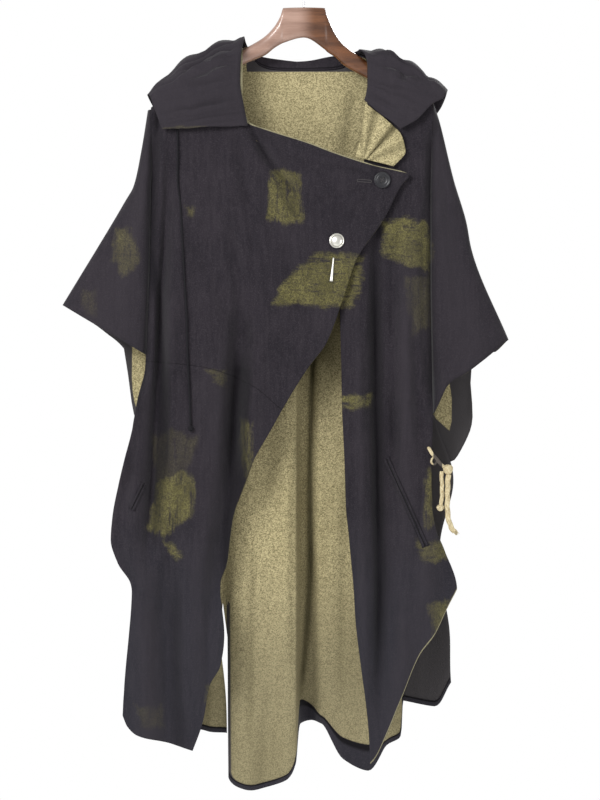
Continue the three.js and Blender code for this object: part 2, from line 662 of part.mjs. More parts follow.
// Left front's turned-back neck corner, which shows the cloth's inner face in a fan of soft pleats.
const FAN_LINES = [
  { at: 0, ix: 103, id: 246, ox: 103.5, od: 249 },
  { at: 0.3, ix: 99, id: 280, ox: 138, od: 276 },
  { at: 0.6, ix: 94, id: 308, ox: 163, od: 302 },
  { at: 0.85, ix: 88, id: 330, ox: 170, od: 330 },
  { at: 1, ix: 86, id: 338, ox: 150, od: 354 },
];
const fan = gridOf(
  share(8, 0),
  share(6, 0),
  (u, v) => {
    const line = (name) => column(FAN_LINES, "at", name, v);
    const x = lerp(line("ix"), line("ox"), u);
    const drop = lerp(line("id"), line("od"), u);
    const surface = leftFront.at(x, drop);
    const spread = Math.atan2(x - 98, 350 - drop);
    return surface.add(new THREE.Vector3(0, -4.2 - 1.8 * Math.cos(spread * 11), 0));
  },
  1,
);
add("left_neck_facing", wall(fan, 0.7, -0.7), OLIVE_WOOL);

// Hanger
const hangerRings = HANGER.map(({ x, top, under, half }, k) => {
  const end = k === 0 || k === HANGER.length - 1 ? 0.7 : 1;
  const middle = (top + under) / 2;
  const tall = ((under - top) / 2) * end;
  return Array.from({ length: 14 }, (_, i) => {
    const angle = (2 * Math.PI * i) / 14;
    const square = 0.86;
    const c = Math.sign(Math.cos(angle)) * Math.abs(Math.cos(angle)) ** square;
    const s = Math.sign(Math.sin(angle)) * Math.abs(Math.sin(angle)) ** square;
    return new THREE.Vector3(x, half * end * c, -middle + tall * s);
  });
});
function loft(rings) {
  const position = rings.flat().flatMap((p) => p.toArray());
  const n = rings[0].length;
  const index = [];
  for (let k = 0; k < rings.length - 1; k += 1) {
    for (let i = 0; i < n; i += 1) {
      const a = k * n + i;
      const b = k * n + ((i + 1) % n);
      index.push(a, b, b + n, a, b + n, a + n);
    }
  }
  [0, rings.length - 1].forEach((k) => {
    const centre = rings[k].reduce((sum, p) => sum.add(p), new THREE.Vector3()).divideScalar(n);
    position.push(...centre.toArray());
    const hub = position.length / 3 - 1;
    for (let i = 0; i < n; i += 1) {
      const a = k * n + i;
      const b = k * n + ((i + 1) % n);
      index.push(...(k === 0 ? [hub, b, a] : [hub, a, b]));
    }
  });
  return solid(position, index);
}
const hanger = new THREE.Group();
cloak.add(hanger);
add("hanger_wood", loft(hangerRings), WOOD, hanger);

function tube(points, diameter, steps, sides = 8, closed = false) {
  const path = new THREE.CatmullRomCurve3(points, closed, "centripetal");
  const shape = new THREE.Shape(
    Array.from({ length: sides }, (_, i) => {
      const angle = (2 * Math.PI * i) / sides;
      return new THREE.Vector2((diameter / 2) * Math.cos(angle), (diameter / 2) * Math.sin(angle));
    }),
  );
  return new THREE.ExtrudeGeometry(shape, { steps, extrudePath: path, bevelEnabled: false });
}
const HOOK_WIRE = 3.4;
const HOOK_RADIUS = 20;
const hookMiddle = HOOK_WIRE / 2 - HOOK_RADIUS;
const hookPoint = (degrees) => {
  const angle = (degrees * Math.PI) / 180;
  return new THREE.Vector3(
    HOOK_RADIUS * Math.cos(angle), 0, hookMiddle + HOOK_RADIUS * Math.sin(angle));
};
add(
  "hanger_hook",
  tube(
    [
      new THREE.Vector3(0, 0, -84.6),
      new THREE.Vector3(0, 0, -66),
      new THREE.Vector3(1, 0, -50),
      ...[-50, -25, 0, 30, 60, 90, 120, 150, 180, 205].map(hookPoint),
    ],
    HOOK_WIRE,
    36,
  ),
  STEEL,
  hanger,
);

// Trims

// A point held off a panel's outside by a distance.
function off(panel, x, drop, away) {
  const [u, v] = panel.find(x, drop);
  const { point, normal } = onGrid(panel.grid, u, v);
  return point.addScaledVector(normal, CLOTH / 2 + away);
}

// A flat strip on a panel, between two ends and of one width.
function strip(panel, ends, wide, thick, us = 8, vs = 2, proud = PROUD) {
  const [a, b] = ends;
  const run = new THREE.Vector2(b.x - a.x, b.drop - a.drop).normalize();
  return wall(
    gridOf(share(us, 0), share(vs, 0), (u, v) => {
      const x = lerp(a.x, b.x, u) - run.y * wide * (v - 0.5);
      const drop = lerp(a.drop, b.drop, u) + run.x * wide * (v - 0.5);
      return off(panel, x, drop, proud + thick / 2);
    }, 1),
    thick / 2,
    -thick / 2,
  );
}
add(
  "pocket_welt_left",
  strip(leftFront, [{ x: 138, drop: 843 }, { x: 203, drop: 989 }], 11, 1.4, 10, 3, 1.1),
  BLACK_WOOL,
);
add(
  "pocket_welt_right",
  strip(rightFront, [{ x: -267, drop: 884 }, { x: -287, drop: 927 }], 10, 1.2, 8, 6, 2.3),
  BLACK_WOOL,
);

// Things with a flat back, turned to lie on a panel.
function onPanel(mesh, panel, x, drop, away, roll = 0) {
  const [u, v] = panel.find(x, drop);
  const { normal } = onGrid(panel.grid, u, v);
  mesh.position.copy(off(panel, x, drop, away));
  mesh.quaternion.setFromUnitVectors(new THREE.Vector3(0, 0, 1), normal);
  mesh.rotateZ(roll);
  return mesh;
}
const BUTTON = 28;
const buttonShape = new THREE.Shape().absarc(0, 0, BUTTON / 2 - 0.8, 0, 2 * Math.PI);
for (const [x, y] of [[2.6, 2.6], [-2.6, 2.6], [-2.6, -2.6], [2.6, -2.6]]) {
  buttonShape.holes.push(new THREE.Path().absarc(x, y, 1.1, 0, 2 * Math.PI, true));
}
onPanel(
  add(
    "black_button",
    new THREE.ExtrudeGeometry(buttonShape, {
      depth: 2.6, bevelThickness: 0.8, bevelSize: 0.8, bevelSegments: 1, curveSegments: 7,
    }),
    HORN,
  ),
  rightFront, 131, 377, 1.5, 0.2,
);
const DOME = [
  [0, 0], [10.5, 0], [12.5, 1.2], [12.5, 2.4], [11.6, 3.2], [10.8, 2.9], [8.5, 4.6], [5, 5.9], [0, 6.4],
];
const dome = new THREE.LatheGeometry(DOME.map(([r, h]) => new THREE.Vector2(r, h)), 24);
dome.rotateX(Math.PI / 2);
onPanel(add("metal_button", dome, SILVER), rightFront, 55, 479, 0.7);

const pinShape = new THREE.Shape(
  [[-1.5, 0], [1.5, 0], [2.2, 20], [3, 40], [-3, 40], [-2.2, 20]].map(([x, y]) => new THREE.Vector2(x, -y)),
);
onPanel(
  add("metal_pin", new THREE.ExtrudeGeometry(pinShape, { depth: 2, bevelEnabled: false }), SILVER),
  rightFront, 49.5, 507, 1.2, -0.12,
);

// Drawcord that hangs from under the collar down the right front, with a knot at its end.
const CORD = 3.6;
const cordLine = [
  [-212, 290], [-211, 330], [-209, 376], [-206, 420], [-203, 476], [-200, 540], [-196, 611],
  [-194, 680], [-191, 740], [-189, 787],
].map(([x, drop]) => off(rightFront, x, drop, CORD / 2 + PROUD));
add("drawcord", tube(cordLine, CORD, 46), BRAID);
const knotEnd = cordLine[cordLine.length - 1];
const cordKnot = add("drawcord_knot", new THREE.SphereGeometry(4.6, 10, 8), BRAID);
cordKnot.position.copy(knotEnd).add(new THREE.Vector3(0.3, -2.6, -5.6));

// Hem binding: a strip along the inside of the back's hem, cut at the slit.
function bindingOf(first, last) {
  const us = back.us.slice(first, last + 1);
  const grid = gridOf(us, [0, 0.5, 1], (u, v) => {
    const length = -backPlace(u, 1).z + backPlace(u, 0).z;
    return backPlace(u, 1 - ((1 - v) * column(BACK_LINES, "at", "bind", u) + 0.5) / length);
  }, 1);
  return wall(grid, CLOTH / 2 + PROUD + BINDING_THICK, CLOTH / 2 + PROUD);
}
add("hem_binding_right", bindingOf(0, slitColumn), BLACK_WOOL);
add("hem_binding_left", bindingOf(slitColumn + 1, back.us.length - 1), BLACK_WOOL);

// Rope tie at the left side: a loop through the front's edge, a knot and two free ends.
const ROPE_THICK = 9;
const at3 = (x, y, drop) => new THREE.Vector3(x, y, -drop);
add(
  "rope_loop",
  tube([at3(208, -34.3, 825), at3(213, -42, 833), at3(224, -46, 847), at3(233.4, -43.4, 857)], 6, 9),
  ROPE,
);
const ropeKnot = add("rope_knot", new THREE.SphereGeometry(8, 12, 8), ROPE);
ropeKnot.position.copy(at3(240.5, -41, 861));
add(
  "rope_long_end",
  tube(
    [at3(241, -41, 869.6), at3(239.5, -41, 900), at3(240, -41, 935), at3(245, -41, 956), at3(252, -40, 965)],
    ROPE_THICK,
    20,
  ),
  ROPE,
);
add(
  "rope_short_end",
  tube([at3(229.5, -42, 864), at3(230.5, -43, 895), at3(229.5, -43, 914), at3(228, -43, 927)], 7, 12),
  ROPE,
);

export default cloak;
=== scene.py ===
import json
import math
import bpy
import bmesh
from mathutils import Matrix, Vector, noise
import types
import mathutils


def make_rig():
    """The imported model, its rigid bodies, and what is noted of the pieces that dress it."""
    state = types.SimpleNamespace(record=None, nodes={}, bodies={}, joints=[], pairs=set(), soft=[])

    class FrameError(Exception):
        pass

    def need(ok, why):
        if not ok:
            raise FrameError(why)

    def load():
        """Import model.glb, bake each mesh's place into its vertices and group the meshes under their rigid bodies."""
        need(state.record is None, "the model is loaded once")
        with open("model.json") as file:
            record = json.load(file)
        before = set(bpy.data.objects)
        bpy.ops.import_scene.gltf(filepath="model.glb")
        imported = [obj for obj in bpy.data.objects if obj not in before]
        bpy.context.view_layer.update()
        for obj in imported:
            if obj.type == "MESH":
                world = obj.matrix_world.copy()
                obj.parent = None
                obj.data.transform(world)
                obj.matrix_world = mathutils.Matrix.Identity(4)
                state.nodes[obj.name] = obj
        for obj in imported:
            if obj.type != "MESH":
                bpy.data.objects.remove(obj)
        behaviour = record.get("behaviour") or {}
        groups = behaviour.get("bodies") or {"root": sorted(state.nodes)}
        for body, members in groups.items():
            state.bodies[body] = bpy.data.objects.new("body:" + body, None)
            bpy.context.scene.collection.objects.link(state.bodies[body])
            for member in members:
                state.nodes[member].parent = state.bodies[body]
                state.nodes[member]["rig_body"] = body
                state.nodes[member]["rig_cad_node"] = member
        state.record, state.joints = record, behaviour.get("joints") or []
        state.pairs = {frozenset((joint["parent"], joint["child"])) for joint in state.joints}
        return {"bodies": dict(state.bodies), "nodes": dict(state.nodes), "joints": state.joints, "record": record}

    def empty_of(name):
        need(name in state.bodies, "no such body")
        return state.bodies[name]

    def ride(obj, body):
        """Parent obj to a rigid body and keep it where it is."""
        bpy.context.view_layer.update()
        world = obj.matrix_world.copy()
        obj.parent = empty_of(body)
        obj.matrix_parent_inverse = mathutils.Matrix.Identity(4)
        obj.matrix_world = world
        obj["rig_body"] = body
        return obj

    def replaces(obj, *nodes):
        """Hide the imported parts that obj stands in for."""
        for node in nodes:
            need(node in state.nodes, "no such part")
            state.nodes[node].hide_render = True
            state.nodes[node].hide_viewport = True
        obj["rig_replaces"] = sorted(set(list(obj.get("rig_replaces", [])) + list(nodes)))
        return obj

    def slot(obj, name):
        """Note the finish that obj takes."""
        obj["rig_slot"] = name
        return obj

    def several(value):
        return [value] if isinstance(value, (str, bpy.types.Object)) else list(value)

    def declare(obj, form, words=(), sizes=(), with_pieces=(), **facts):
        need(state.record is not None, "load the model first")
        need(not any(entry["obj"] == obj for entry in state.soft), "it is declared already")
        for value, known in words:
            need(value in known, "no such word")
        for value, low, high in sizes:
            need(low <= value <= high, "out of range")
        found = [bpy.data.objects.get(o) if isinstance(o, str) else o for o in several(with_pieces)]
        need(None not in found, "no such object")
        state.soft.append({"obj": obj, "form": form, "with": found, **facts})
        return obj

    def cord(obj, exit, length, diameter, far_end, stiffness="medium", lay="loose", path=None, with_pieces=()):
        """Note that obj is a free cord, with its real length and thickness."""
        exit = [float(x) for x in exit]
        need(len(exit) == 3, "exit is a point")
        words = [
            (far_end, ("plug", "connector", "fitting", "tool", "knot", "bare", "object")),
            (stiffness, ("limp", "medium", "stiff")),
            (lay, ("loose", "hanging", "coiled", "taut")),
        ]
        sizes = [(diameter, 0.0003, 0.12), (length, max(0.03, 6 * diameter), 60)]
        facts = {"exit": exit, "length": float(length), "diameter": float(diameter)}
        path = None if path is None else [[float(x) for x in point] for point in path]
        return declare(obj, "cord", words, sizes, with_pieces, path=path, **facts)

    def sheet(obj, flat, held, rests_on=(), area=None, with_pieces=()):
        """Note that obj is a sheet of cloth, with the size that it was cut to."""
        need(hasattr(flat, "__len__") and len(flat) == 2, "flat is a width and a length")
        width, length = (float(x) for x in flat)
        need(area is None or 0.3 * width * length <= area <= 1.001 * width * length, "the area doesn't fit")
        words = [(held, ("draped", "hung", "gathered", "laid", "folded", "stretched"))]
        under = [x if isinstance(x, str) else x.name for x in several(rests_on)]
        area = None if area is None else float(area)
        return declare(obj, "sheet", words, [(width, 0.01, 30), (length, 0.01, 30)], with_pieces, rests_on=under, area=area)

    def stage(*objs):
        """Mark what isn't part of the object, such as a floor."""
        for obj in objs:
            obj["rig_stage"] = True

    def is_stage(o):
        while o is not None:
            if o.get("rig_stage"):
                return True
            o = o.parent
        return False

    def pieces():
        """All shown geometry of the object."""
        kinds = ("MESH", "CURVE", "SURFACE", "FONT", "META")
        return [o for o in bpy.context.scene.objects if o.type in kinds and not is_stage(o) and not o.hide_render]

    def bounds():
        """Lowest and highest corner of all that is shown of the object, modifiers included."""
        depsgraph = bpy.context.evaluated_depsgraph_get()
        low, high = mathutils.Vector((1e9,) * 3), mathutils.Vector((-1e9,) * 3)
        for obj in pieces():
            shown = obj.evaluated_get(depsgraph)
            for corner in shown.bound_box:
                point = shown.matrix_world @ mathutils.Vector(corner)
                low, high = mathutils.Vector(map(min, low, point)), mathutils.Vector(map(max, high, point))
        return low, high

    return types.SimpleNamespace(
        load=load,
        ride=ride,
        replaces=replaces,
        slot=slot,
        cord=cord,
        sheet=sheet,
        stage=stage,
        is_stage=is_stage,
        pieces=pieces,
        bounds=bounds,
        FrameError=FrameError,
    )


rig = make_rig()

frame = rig.load()
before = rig.bounds()

# Camera: level with the cloak's middle and far off, with a long lens, as for a product picture.
lens = bpy.data.cameras.new("camera")
lens.lens = 174
lens.sensor_width = 36
lens.clip_end = 50
camera = bpy.data.objects.new("camera", lens)
camera.location = (-0.0067, -6.5, -0.745)
camera.rotation_euler = (math.pi / 2, 0, 0)
bpy.context.collection.objects.link(camera)
bpy.context.scene.camera = camera

# Light: a bright even room, a broad lamp above on the left, a weaker one low on the right and one
# behind, over a pale floor.
scene = bpy.context.scene
scene.view_settings.view_transform = "Standard"
world = bpy.data.worlds.new("room")
scene.world = world
world.use_nodes = True
room = world.node_tree.nodes["Background"]
room.inputs["Color"].default_value = (1, 1, 1, 1)
room.inputs["Strength"].default_value = 1.0
for name, place, size, power, aim in (
    ("key_light", (-2.1, -3.0, 1.0), 1.7, 190, (0.0, 0.0, -0.6)),
    ("fill_light", (2.6, -2.6, -0.6), 1.8, 34, (0.0, 0.0, -0.8)),
    ("back_light", (1.4, 3.2, 0.9), 1.8, 150, (0.0, 0.0, -0.7)),
):
    lamp = bpy.data.lights.new(name, "AREA")
    lamp.shape = "DISK"
    lamp.size = size
    lamp.energy = power
    light = bpy.data.objects.new(name, lamp)
    light.location = place
    light.rotation_euler = (Vector(aim) - Vector(place)).to_track_quat("-Z", "Y").to_euler()
    bpy.context.collection.objects.link(light)
slab = bmesh.new()
bmesh.ops.create_grid(slab, x_segments=1, y_segments=1, size=4, matrix=Matrix.Translation((0, 0, -1.9)))
ground = bpy.data.meshes.new("floor")
slab.to_mesh(ground)
slab.free()
floor = bpy.data.objects.new("floor", ground)
bpy.context.collection.objects.link(floor)
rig.stage(floor)
pale = bpy.data.materials.new("floor_pale")
pale.use_nodes = True
matt = pale.node_tree.nodes["Principled BSDF"]
matt.inputs["Base Color"].default_value = (0.82, 0.82, 0.81, 1)
matt.inputs["Roughness"].default_value = 0.8
ground.materials.append(pale)


# Drawcord: a thin black braid, 3.6 mm across, that hangs from under the collar down the right front.
# It is a round cord, plaited fine, with its end tied into a knot of its own.
class Sum:
    """A shader socket that takes Python's operators."""

    def __init__(self, tree, socket):
        self.tree, self.socket = tree, socket

    def math(self, kind, *others):
        return add_node(self.tree, "ShaderNodeMath", 0, dict(enumerate((self, *others))), operation=kind)

    def __add__(self, other):
        return self.math("ADD", other)

    def __sub__(self, other):
        return self.math("SUBTRACT", other)

    def __mul__(self, other):
        return self.math("MULTIPLY", other)

    def __rsub__(self, other):
        return self * -1.0 + other

    __radd__, __rmul__ = __add__, __mul__

    def span(self, low, high):
        """A smooth rise from 0 at low to 1 at high."""
        return add_node(self.tree, "ShaderNodeMapRange", "Result",
                        {"Value": self, "From Min": low, "From Max": high}, interpolation_type="SMOOTHSTEP")


def add_node(tree, kind, output, pins, **settings):
    """Adds a node: its settings first, then a value or a link for each pin."""
    node = tree.nodes.new(kind)
    for name, value in settings.items():
        setattr(node, name, value)
    for name, value in pins.items():
        pin = node.inputs[name]
        if isinstance(value, Sum):
            tree.links.new(value.socket, pin)
        else:
            pin.default_value = (*value, 1) if pin.type == "RGBA" else value
    return Sum(tree, node.outputs[output])


class Finish:
    """A material, with the patterns that its colour and its relief are made of."""

    def __init__(self, name, color, rough, **settings):
        self.material = bpy.data.materials.new(name)
        self.material.use_nodes = True
        self.tree = self.material.node_tree
        self.shader = self.tree.nodes["Principled BSDF"]
        self.shader.inputs["Base Color"].default_value = (*color, 1)
        self.shader.inputs["Roughness"].default_value = rough
        for pin, value in settings.items():
            self.shader.inputs[pin.replace("_", " ")].default_value = value

    def node(self, kind, output, pins=None, **settings):
        return add_node(self.tree, kind, output, pins or {}, **settings)

    def place(self, scale=(1, 1, 1)):
        spot = self.node("ShaderNodeTexCoord", "Object")
        return self.node("ShaderNodeMapping", "Vector", {"Vector": spot, "Scale": scale})

    def along(self, axis):
        return self.node("ShaderNodeSeparateXYZ", axis, {"Vector": self.place()})

    def noise(self, scale, detail=2.0, rough=0.5, stretch=(1, 1, 1)):
        return self.node("ShaderNodeTexNoise", "Fac", {
            "Vector": self.place(stretch), "Scale": scale, "Detail": detail, "Roughness": rough})

    def own(self, name):
        """A value that the mesh holds at each point."""
        return self.node("ShaderNodeAttribute", "Fac", attribute_name=name)

    def cells(self, scale):
        """Small cells of an even random tone each, from 0 to 1."""
        tone = self.node("ShaderNodeTexVoronoi", "Color", {"Vector": self.place(), "Scale": scale})
        return self.node("ShaderNodeSeparateColor", 0, {0: tone})

    def mix(self, factor, a, b):
        return self.node("ShaderNodeMix", 2, {0: factor, 6: a, 7: b}, data_type="RGBA")

    def feed(self, pin, value):
        self.tree.links.new(value.socket, self.shader.inputs[pin])

    def bump(self, height, depth, strength):
        self.feed("Normal", self.node(
            "ShaderNodeBump", "Normal", {"Height": height, "Distance": depth, "Strength": strength}))


def cover(mesh, rows):
    """A grid laid over rows of points."""
    grid = bmesh.ops.create_grid(
        mesh, x_segments=len(rows[0]) - 1, y_segments=len(rows) - 1, size=1)["verts"]
    for v, p in zip(grid, (p for row in rows for p in row)):
        v.co = p
    return grid


def skin(mesh, rings):
    """A closed skin over rings of points, capped at both ends."""
    grid = cover(mesh, [ring + ring[:1] for ring in rings])
    bmesh.ops.remove_doubles(mesh, verts=grid, dist=1e-7)
    bmesh.ops.holes_fill(mesh, edges=[edge for edge in mesh.edges if edge.is_boundary], sides=0)


def tube(name, finish, points, radius, sides=12, step=0.002, lobes=0, pitch=0.008):
    """A tube along points in mm, and its centre line. Lobes and pitch lay it like rope."""
    spots = [Vector(p) / 1000 for p in points]
    line = []
    for i in range(len(spots) - 1):
        a, b, c, d = (spots[min(max(k, 0), len(spots) - 1)] for k in (i - 1, i, i + 1, i + 2))
        count = max(2, int((c - b).length / step))
        for k in range(count):
            t = k / count
            line.append(0.5 * (2 * b + (c - a) * t + (2 * a - 5 * b + 4 * c - d) * t * t
                               + (3 * b - a - 3 * c + d) * t ** 3))
    line.append(spots[-1])
    mesh = bmesh.new()
    rings, run = [], 0.0
    side = Vector((1, 0, 0))
    for k, p in enumerate(line):
        ahead = (line[min(k + 1, len(line) - 1)] - line[max(k - 1, 0)]).normalized()
        side = (side - ahead * side.dot(ahead)).normalized()
        up = ahead.cross(side)
        run += (p - line[k - 1]).length if k else 0
        ring = []
        for s in range(sides):
            angle = 2 * math.pi * s / sides
            swell = 1 + (0.13 * math.cos(lobes * angle - 2 * math.pi * run / pitch) - 0.08 if lobes else 0)
            ring.append(p + radius * swell * (side * math.cos(angle) + up * math.sin(angle)))
        rings.append(ring)
    skin(mesh, rings)
    return keep(name, mesh, finish), line


def keep(name, mesh, finish, smooth=True):
    """Makes an object of a bmesh, with its finish."""
    bmesh.ops.recalc_face_normals(mesh, faces=mesh.faces)
    data = bpy.data.meshes.new(name)
    mesh.to_mesh(data)
    mesh.free()
    for face in data.polygons:
        face.use_smooth = smooth
    data.materials.append(finish.material)
    piece = bpy.data.objects.new(name, data)
    bpy.context.collection.objects.link(piece)
    return piece


def belong(piece, slot, *nodes):
    """Puts a piece on the one rigid body, in its colour slot and in the place of its solids."""
    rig.ride(piece, "root")
    if nodes:
        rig.replaces(piece, *nodes)
    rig.slot(piece, slot)


def ball(name, finish, centre, size, turns):
    """A tied knot: a ball with crossing wraps, in mm."""
    mesh = bmesh.new()
    bmesh.ops.create_icosphere(mesh, subdivisions=5, radius=1)
    for v in mesh.verts:
        n = v.co.normalized()
        wrap = math.sin(turns * math.atan2(n.z, n.x) + 3 * n.y) * 0.5 + math.sin(
            (turns + 1) * math.atan2(n.y + 0.3 * n.x, n.z)) * 0.5
        v.co = Vector(centre) / 1000 + Vector(
            [c * s / 1000 * (1 + 0.1 * wrap) for c, s in zip(n, size)])
    return keep(name, mesh, finish)


DRAWCORD = [
    (-212.1, -28.0, -290), (-211.2, -28.0, -330), (-211.6, -29.0, -375.8), (-206.7, -31.4, -419.8),
    (-203.4, -35.7, -475.8), (-200.0, -36.8, -539.9), (-196.0, -38.8, -610.9),
    (-194.3, -41.0, -679.9), (-191.2, -42.8, -739.9), (-189.4, -44.6, -786.9),
]
BRAID = 0.0036
braid = Finish("black_braid", (0.006, 0.0055, 0.007), 0.9, Specular_IOR_Level=0.15)
braid.bump(braid.noise(900, 1), 0.0008, 0.8)
drawcord, line = tube("drawcord_braid", braid, DRAWCORD, BRAID / 2, lobes=2)
cord_knot = ball("drawcord_tied_knot", braid, (-189.1, -47.2, -792.5), (4.4, 4.2, 4.8), 4)
belong(drawcord, "black_braid", "drawcord")
belong(cord_knot, "black_braid", "drawcord_knot")
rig.cord(drawcord, exit=tuple(line[0]), length=0.498, diameter=BRAID, far_end="knot",
        stiffness="limp", lay="hanging", path=[tuple(p) for p in line[::3]] + [tuple(line[-1])],
        with_pieces=[cord_knot])


# Rope tie at the left side: laid natural rope that loops through the left front's edge, taped dark
# there, and is knotted. A long end hangs down to a frayed tip, and a short end to a knot of its own.
rope = Finish("pale_rope", (0.36, 0.31, 0.19), 0.9, Specular_IOR_Level=0.15)
fibre = rope.noise(700, 3, 0.7, stretch=(1, 1, 0.3))
natural = rope.mix(fibre.span(0.3, 0.7), (0.25, 0.19, 0.10), (0.46, 0.41, 0.27))
across, upright = rope.along("X"), rope.along("Z")
taped = across.span(0.2150, 0.2165) * across.span(0.2315, 0.2300) * upright.span(-0.862, -0.859)
rope.feed("Base Color", rope.mix(taped, natural, (0.055, 0.047, 0.040)))
rope.bump(fibre, 0.001, 0.7)
ROPES = (
    ("rope_loop", [(208, -34.3, -825), (213, -42, -833), (224, -46, -847), (233.4, -43.4, -857)],
     3.0, "object"),
    ("rope_long_end", [(241, -41, -869.6), (239.5, -41, -900), (240, -41, -935), (245, -41, -956),
                       (252, -40, -965)], 4.6, "bare"),
    ("rope_short_end", [(229.5, -42, -864), (230.5, -43, -895), (229.5, -43, -914),
                        (228, -43, -927)], 3.5, "knot"),
)
rope_knot = ball("rope_tied_knot", rope, (240.5, -41, -861), (8.2, 7.6, 8.4), 3)
belong(rope_knot, "pale_rope", "rope_knot")
ring_points = [
    (217 + 4.6 * math.cos(0.3 * k), -44.5 + 1.2 * math.cos(0.3 * k), -847 + 5.4 * math.sin(0.3 * k))
    for k in range(22)]
rope_ring = tube("rope_ring", rope, ring_points, 0.0017, sides=14, step=0.001, lobes=3)[0]
belong(rope_ring, "pale_rope")
end_knot = ball("rope_end_knot", rope, (227.6, -43, -925), (6.2, 5.2, 5.4), 3)
belong(end_knot, "pale_rope")
FIBRES = 26
tip, deep = Vector((0.2515, -0.040, -0.9645)), Vector((0, 1, 0))
wide = Vector((-0.4, 0, 0.9)).cross(deep)
fray = bmesh.new()
for k in range(FIBRES):
    angle = 2.4 * k
    out = 0.0042 * math.sqrt((k + 0.5) / FIBRES)
    start = tip + wide * out * math.cos(angle) + deep * out * math.sin(angle)
    along = Vector((0.55, 0.1 * math.sin(angle), -0.6)) + Vector(
        (math.cos(angle), 0, math.sin(2 * angle))) * 0.35
    end = start + along.normalized() * (0.006 + 0.004 * noise.noise(start * 900))
    bmesh.ops.create_cone(
        fray, cap_ends=True, segments=5, radius1=0.0007, radius2=0.0003,
        depth=(end - start).length,
        matrix=Matrix.Translation((start + end) / 2)
        @ (end - start).to_track_quat("Z", "Y").to_matrix().to_4x4())
frayed = keep("rope_fray", fray, rope)
belong(frayed, "pale_rope")
TIED = {"rope_loop": [rope_knot, rope_ring], "rope_long_end": [frayed], "rope_short_end": [end_knot]}
for name, points, radius, end in ROPES:
    piece, line = tube(
        name + "_laid", rope, points, radius / 1000, sides=24, step=0.0012, lobes=3, pitch=0.021)
    belong(piece, "pale_rope", name)
    length = sum((b - a).length for a, b in zip(line, line[1:]))
    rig.cord(piece, exit=tuple(line[0]), length=round(length, 3), diameter=2 * radius / 1000,
            far_end=end, stiffness="medium", lay="hanging",
            path=[tuple(p) for p in line[::3]] + [tuple(line[-1])],
            with_pieces=TIED[name])


# Right and left fronts: panels of thick double-faced wool, black outside and olive inside, 2 mm thick.
# Each has a waist seam and hangs from the shoulder; the right one is swept back and buttons over the
# left. Their free edges are left raw and paler. They have the solids' edges and folds, creased finer.
CLOTH = 0.002
SEAM = 0.3
SHOULDER_LOW = 262
LAPEL_LOW = 364
HANGER_ENDS = -222, 206


class Table:
    """Rows with named columns, read along the first on a smooth curve that doesn't overshoot them."""

    def __init__(self, names, rows):
        self.names = names.split()
        self.rows = [dict(zip(self.names, row)) for row in rows]

    def row(self, t):
        return {name: self.at(name, t) for name in self.names[1:]}

    def at(self, name, t):
        rows, along = self.rows, self.names[0]
        if t <= rows[0][along]:
            return rows[0][name]
        if t >= rows[-1][along]:
            return rows[-1][name]
        i = 0
        while t > rows[i + 1][along]:
            i += 1

        def slope(k):
            return (rows[k + 1][name] - rows[k][name]) / (rows[k + 1][along] - rows[k][along])

        def tangent(k):
            if k == 0:
                return slope(0)
            if k == len(rows) - 1:
                return slope(k - 1)
            a, b = slope(k - 1), slope(k)
            return 0 if a * b <= 0 else 2 * a * b / (a + b)

        wide = rows[i + 1][along] - rows[i][along]
        s = (t - rows[i][along]) / wide
        return (rows[i][name] + (rows[i + 1][name] - rows[i][name]) * s * s * (3 - 2 * s)
                + s * (1 - s) ** 2 * wide * tangent(i) + s * s * (s - 1) * wide * tangent(i + 1))


def lerp(a, b, t):
    return a + (b - a) * t


def clamp(t, low=0.0, high=1.0):
    return min(high, max(low, t))


def ease(t):
    t = clamp(t)
    return t * t * (3 - 2 * t)


def bell(t):
    return math.exp(-t * t)


def folds(table, x, drop):
    """Hanging folds: each leans from x0 to x1 on its way down and has a left and a right flank."""
    total = 0.0
    for f in table.rows:
        run = (drop - f["from"]) / (f["to"] - f["from"])
        centre = lerp(f["x0"], f["x1"], run)
        grows = ease(run / 0.35) * ease((1.1 - run) / 0.25)
        total += f["deep"] * grows * bell((x - centre) / (f["left"] if x < centre else f["right"]))
    return total


def creases(table, x, drop):
    """Pressed and pulled lines: each runs between two points, is as deep and wide as its row says
    and fades at its ends."""
    total = 0.0
    for c in table.rows:
        ax, az = c["x1"] - c["x0"], c["d1"] - c["d0"]
        long = math.hypot(ax, az)
        t = ((x - c["x0"]) * ax + (drop - c["d0"]) * az) / long ** 2
        if -0.15 < t < 1.15:
            off = ((x - c["x0"]) * az - (drop - c["d0"]) * ax) / long + c["bow"] * 4 * t * (1 - t)
            total += c["deep"] * bell(off / c["wide"]) * ease((t + 0.15) / 0.3) * ease((1.15 - t) / 0.3)
    return total


def ripple(x, drop, seed, deep=1.0):
    """The cloth's own uneven hang: long soft waves down it and small ones on them."""
    return deep * (3.4 * noise.noise((x / 44, seed, drop / 230))
                   + 1.8 * noise.noise((x / 19, seed + 4, drop / 80))
                   + 0.7 * noise.noise((x / 9, seed + 9, drop / 19)))


HANGER = Table("x top under half", [
    (-222, 227, 245, 14), (-190, 207, 231, 15), (-150, 184, 210, 13), (-99, 154, 180, 11),
    (-66, 134, 166, 10), (-49, 116, 153, 10), (-39, 98, 147, 10), (-35, 86, 145, 9), (0, 85, 136, 9),
    (35, 86, 156, 9), (39, 98, 160, 10), (51, 126, 168, 10), (66, 147, 182, 10), (99, 171, 201, 11),
    (150, 200, 226, 13), (180, 215, 240, 15), (206, 229, 247, 14),
])


def shoulder(x):
    """How far down the cloth lies on the hanger, or slopes off past its ends."""
    past = max(0.0, HANGER_ENDS[0] - x, x - HANGER_ENDS[1])
    return HANGER.at("top", x) - 3 + 0.87 * past


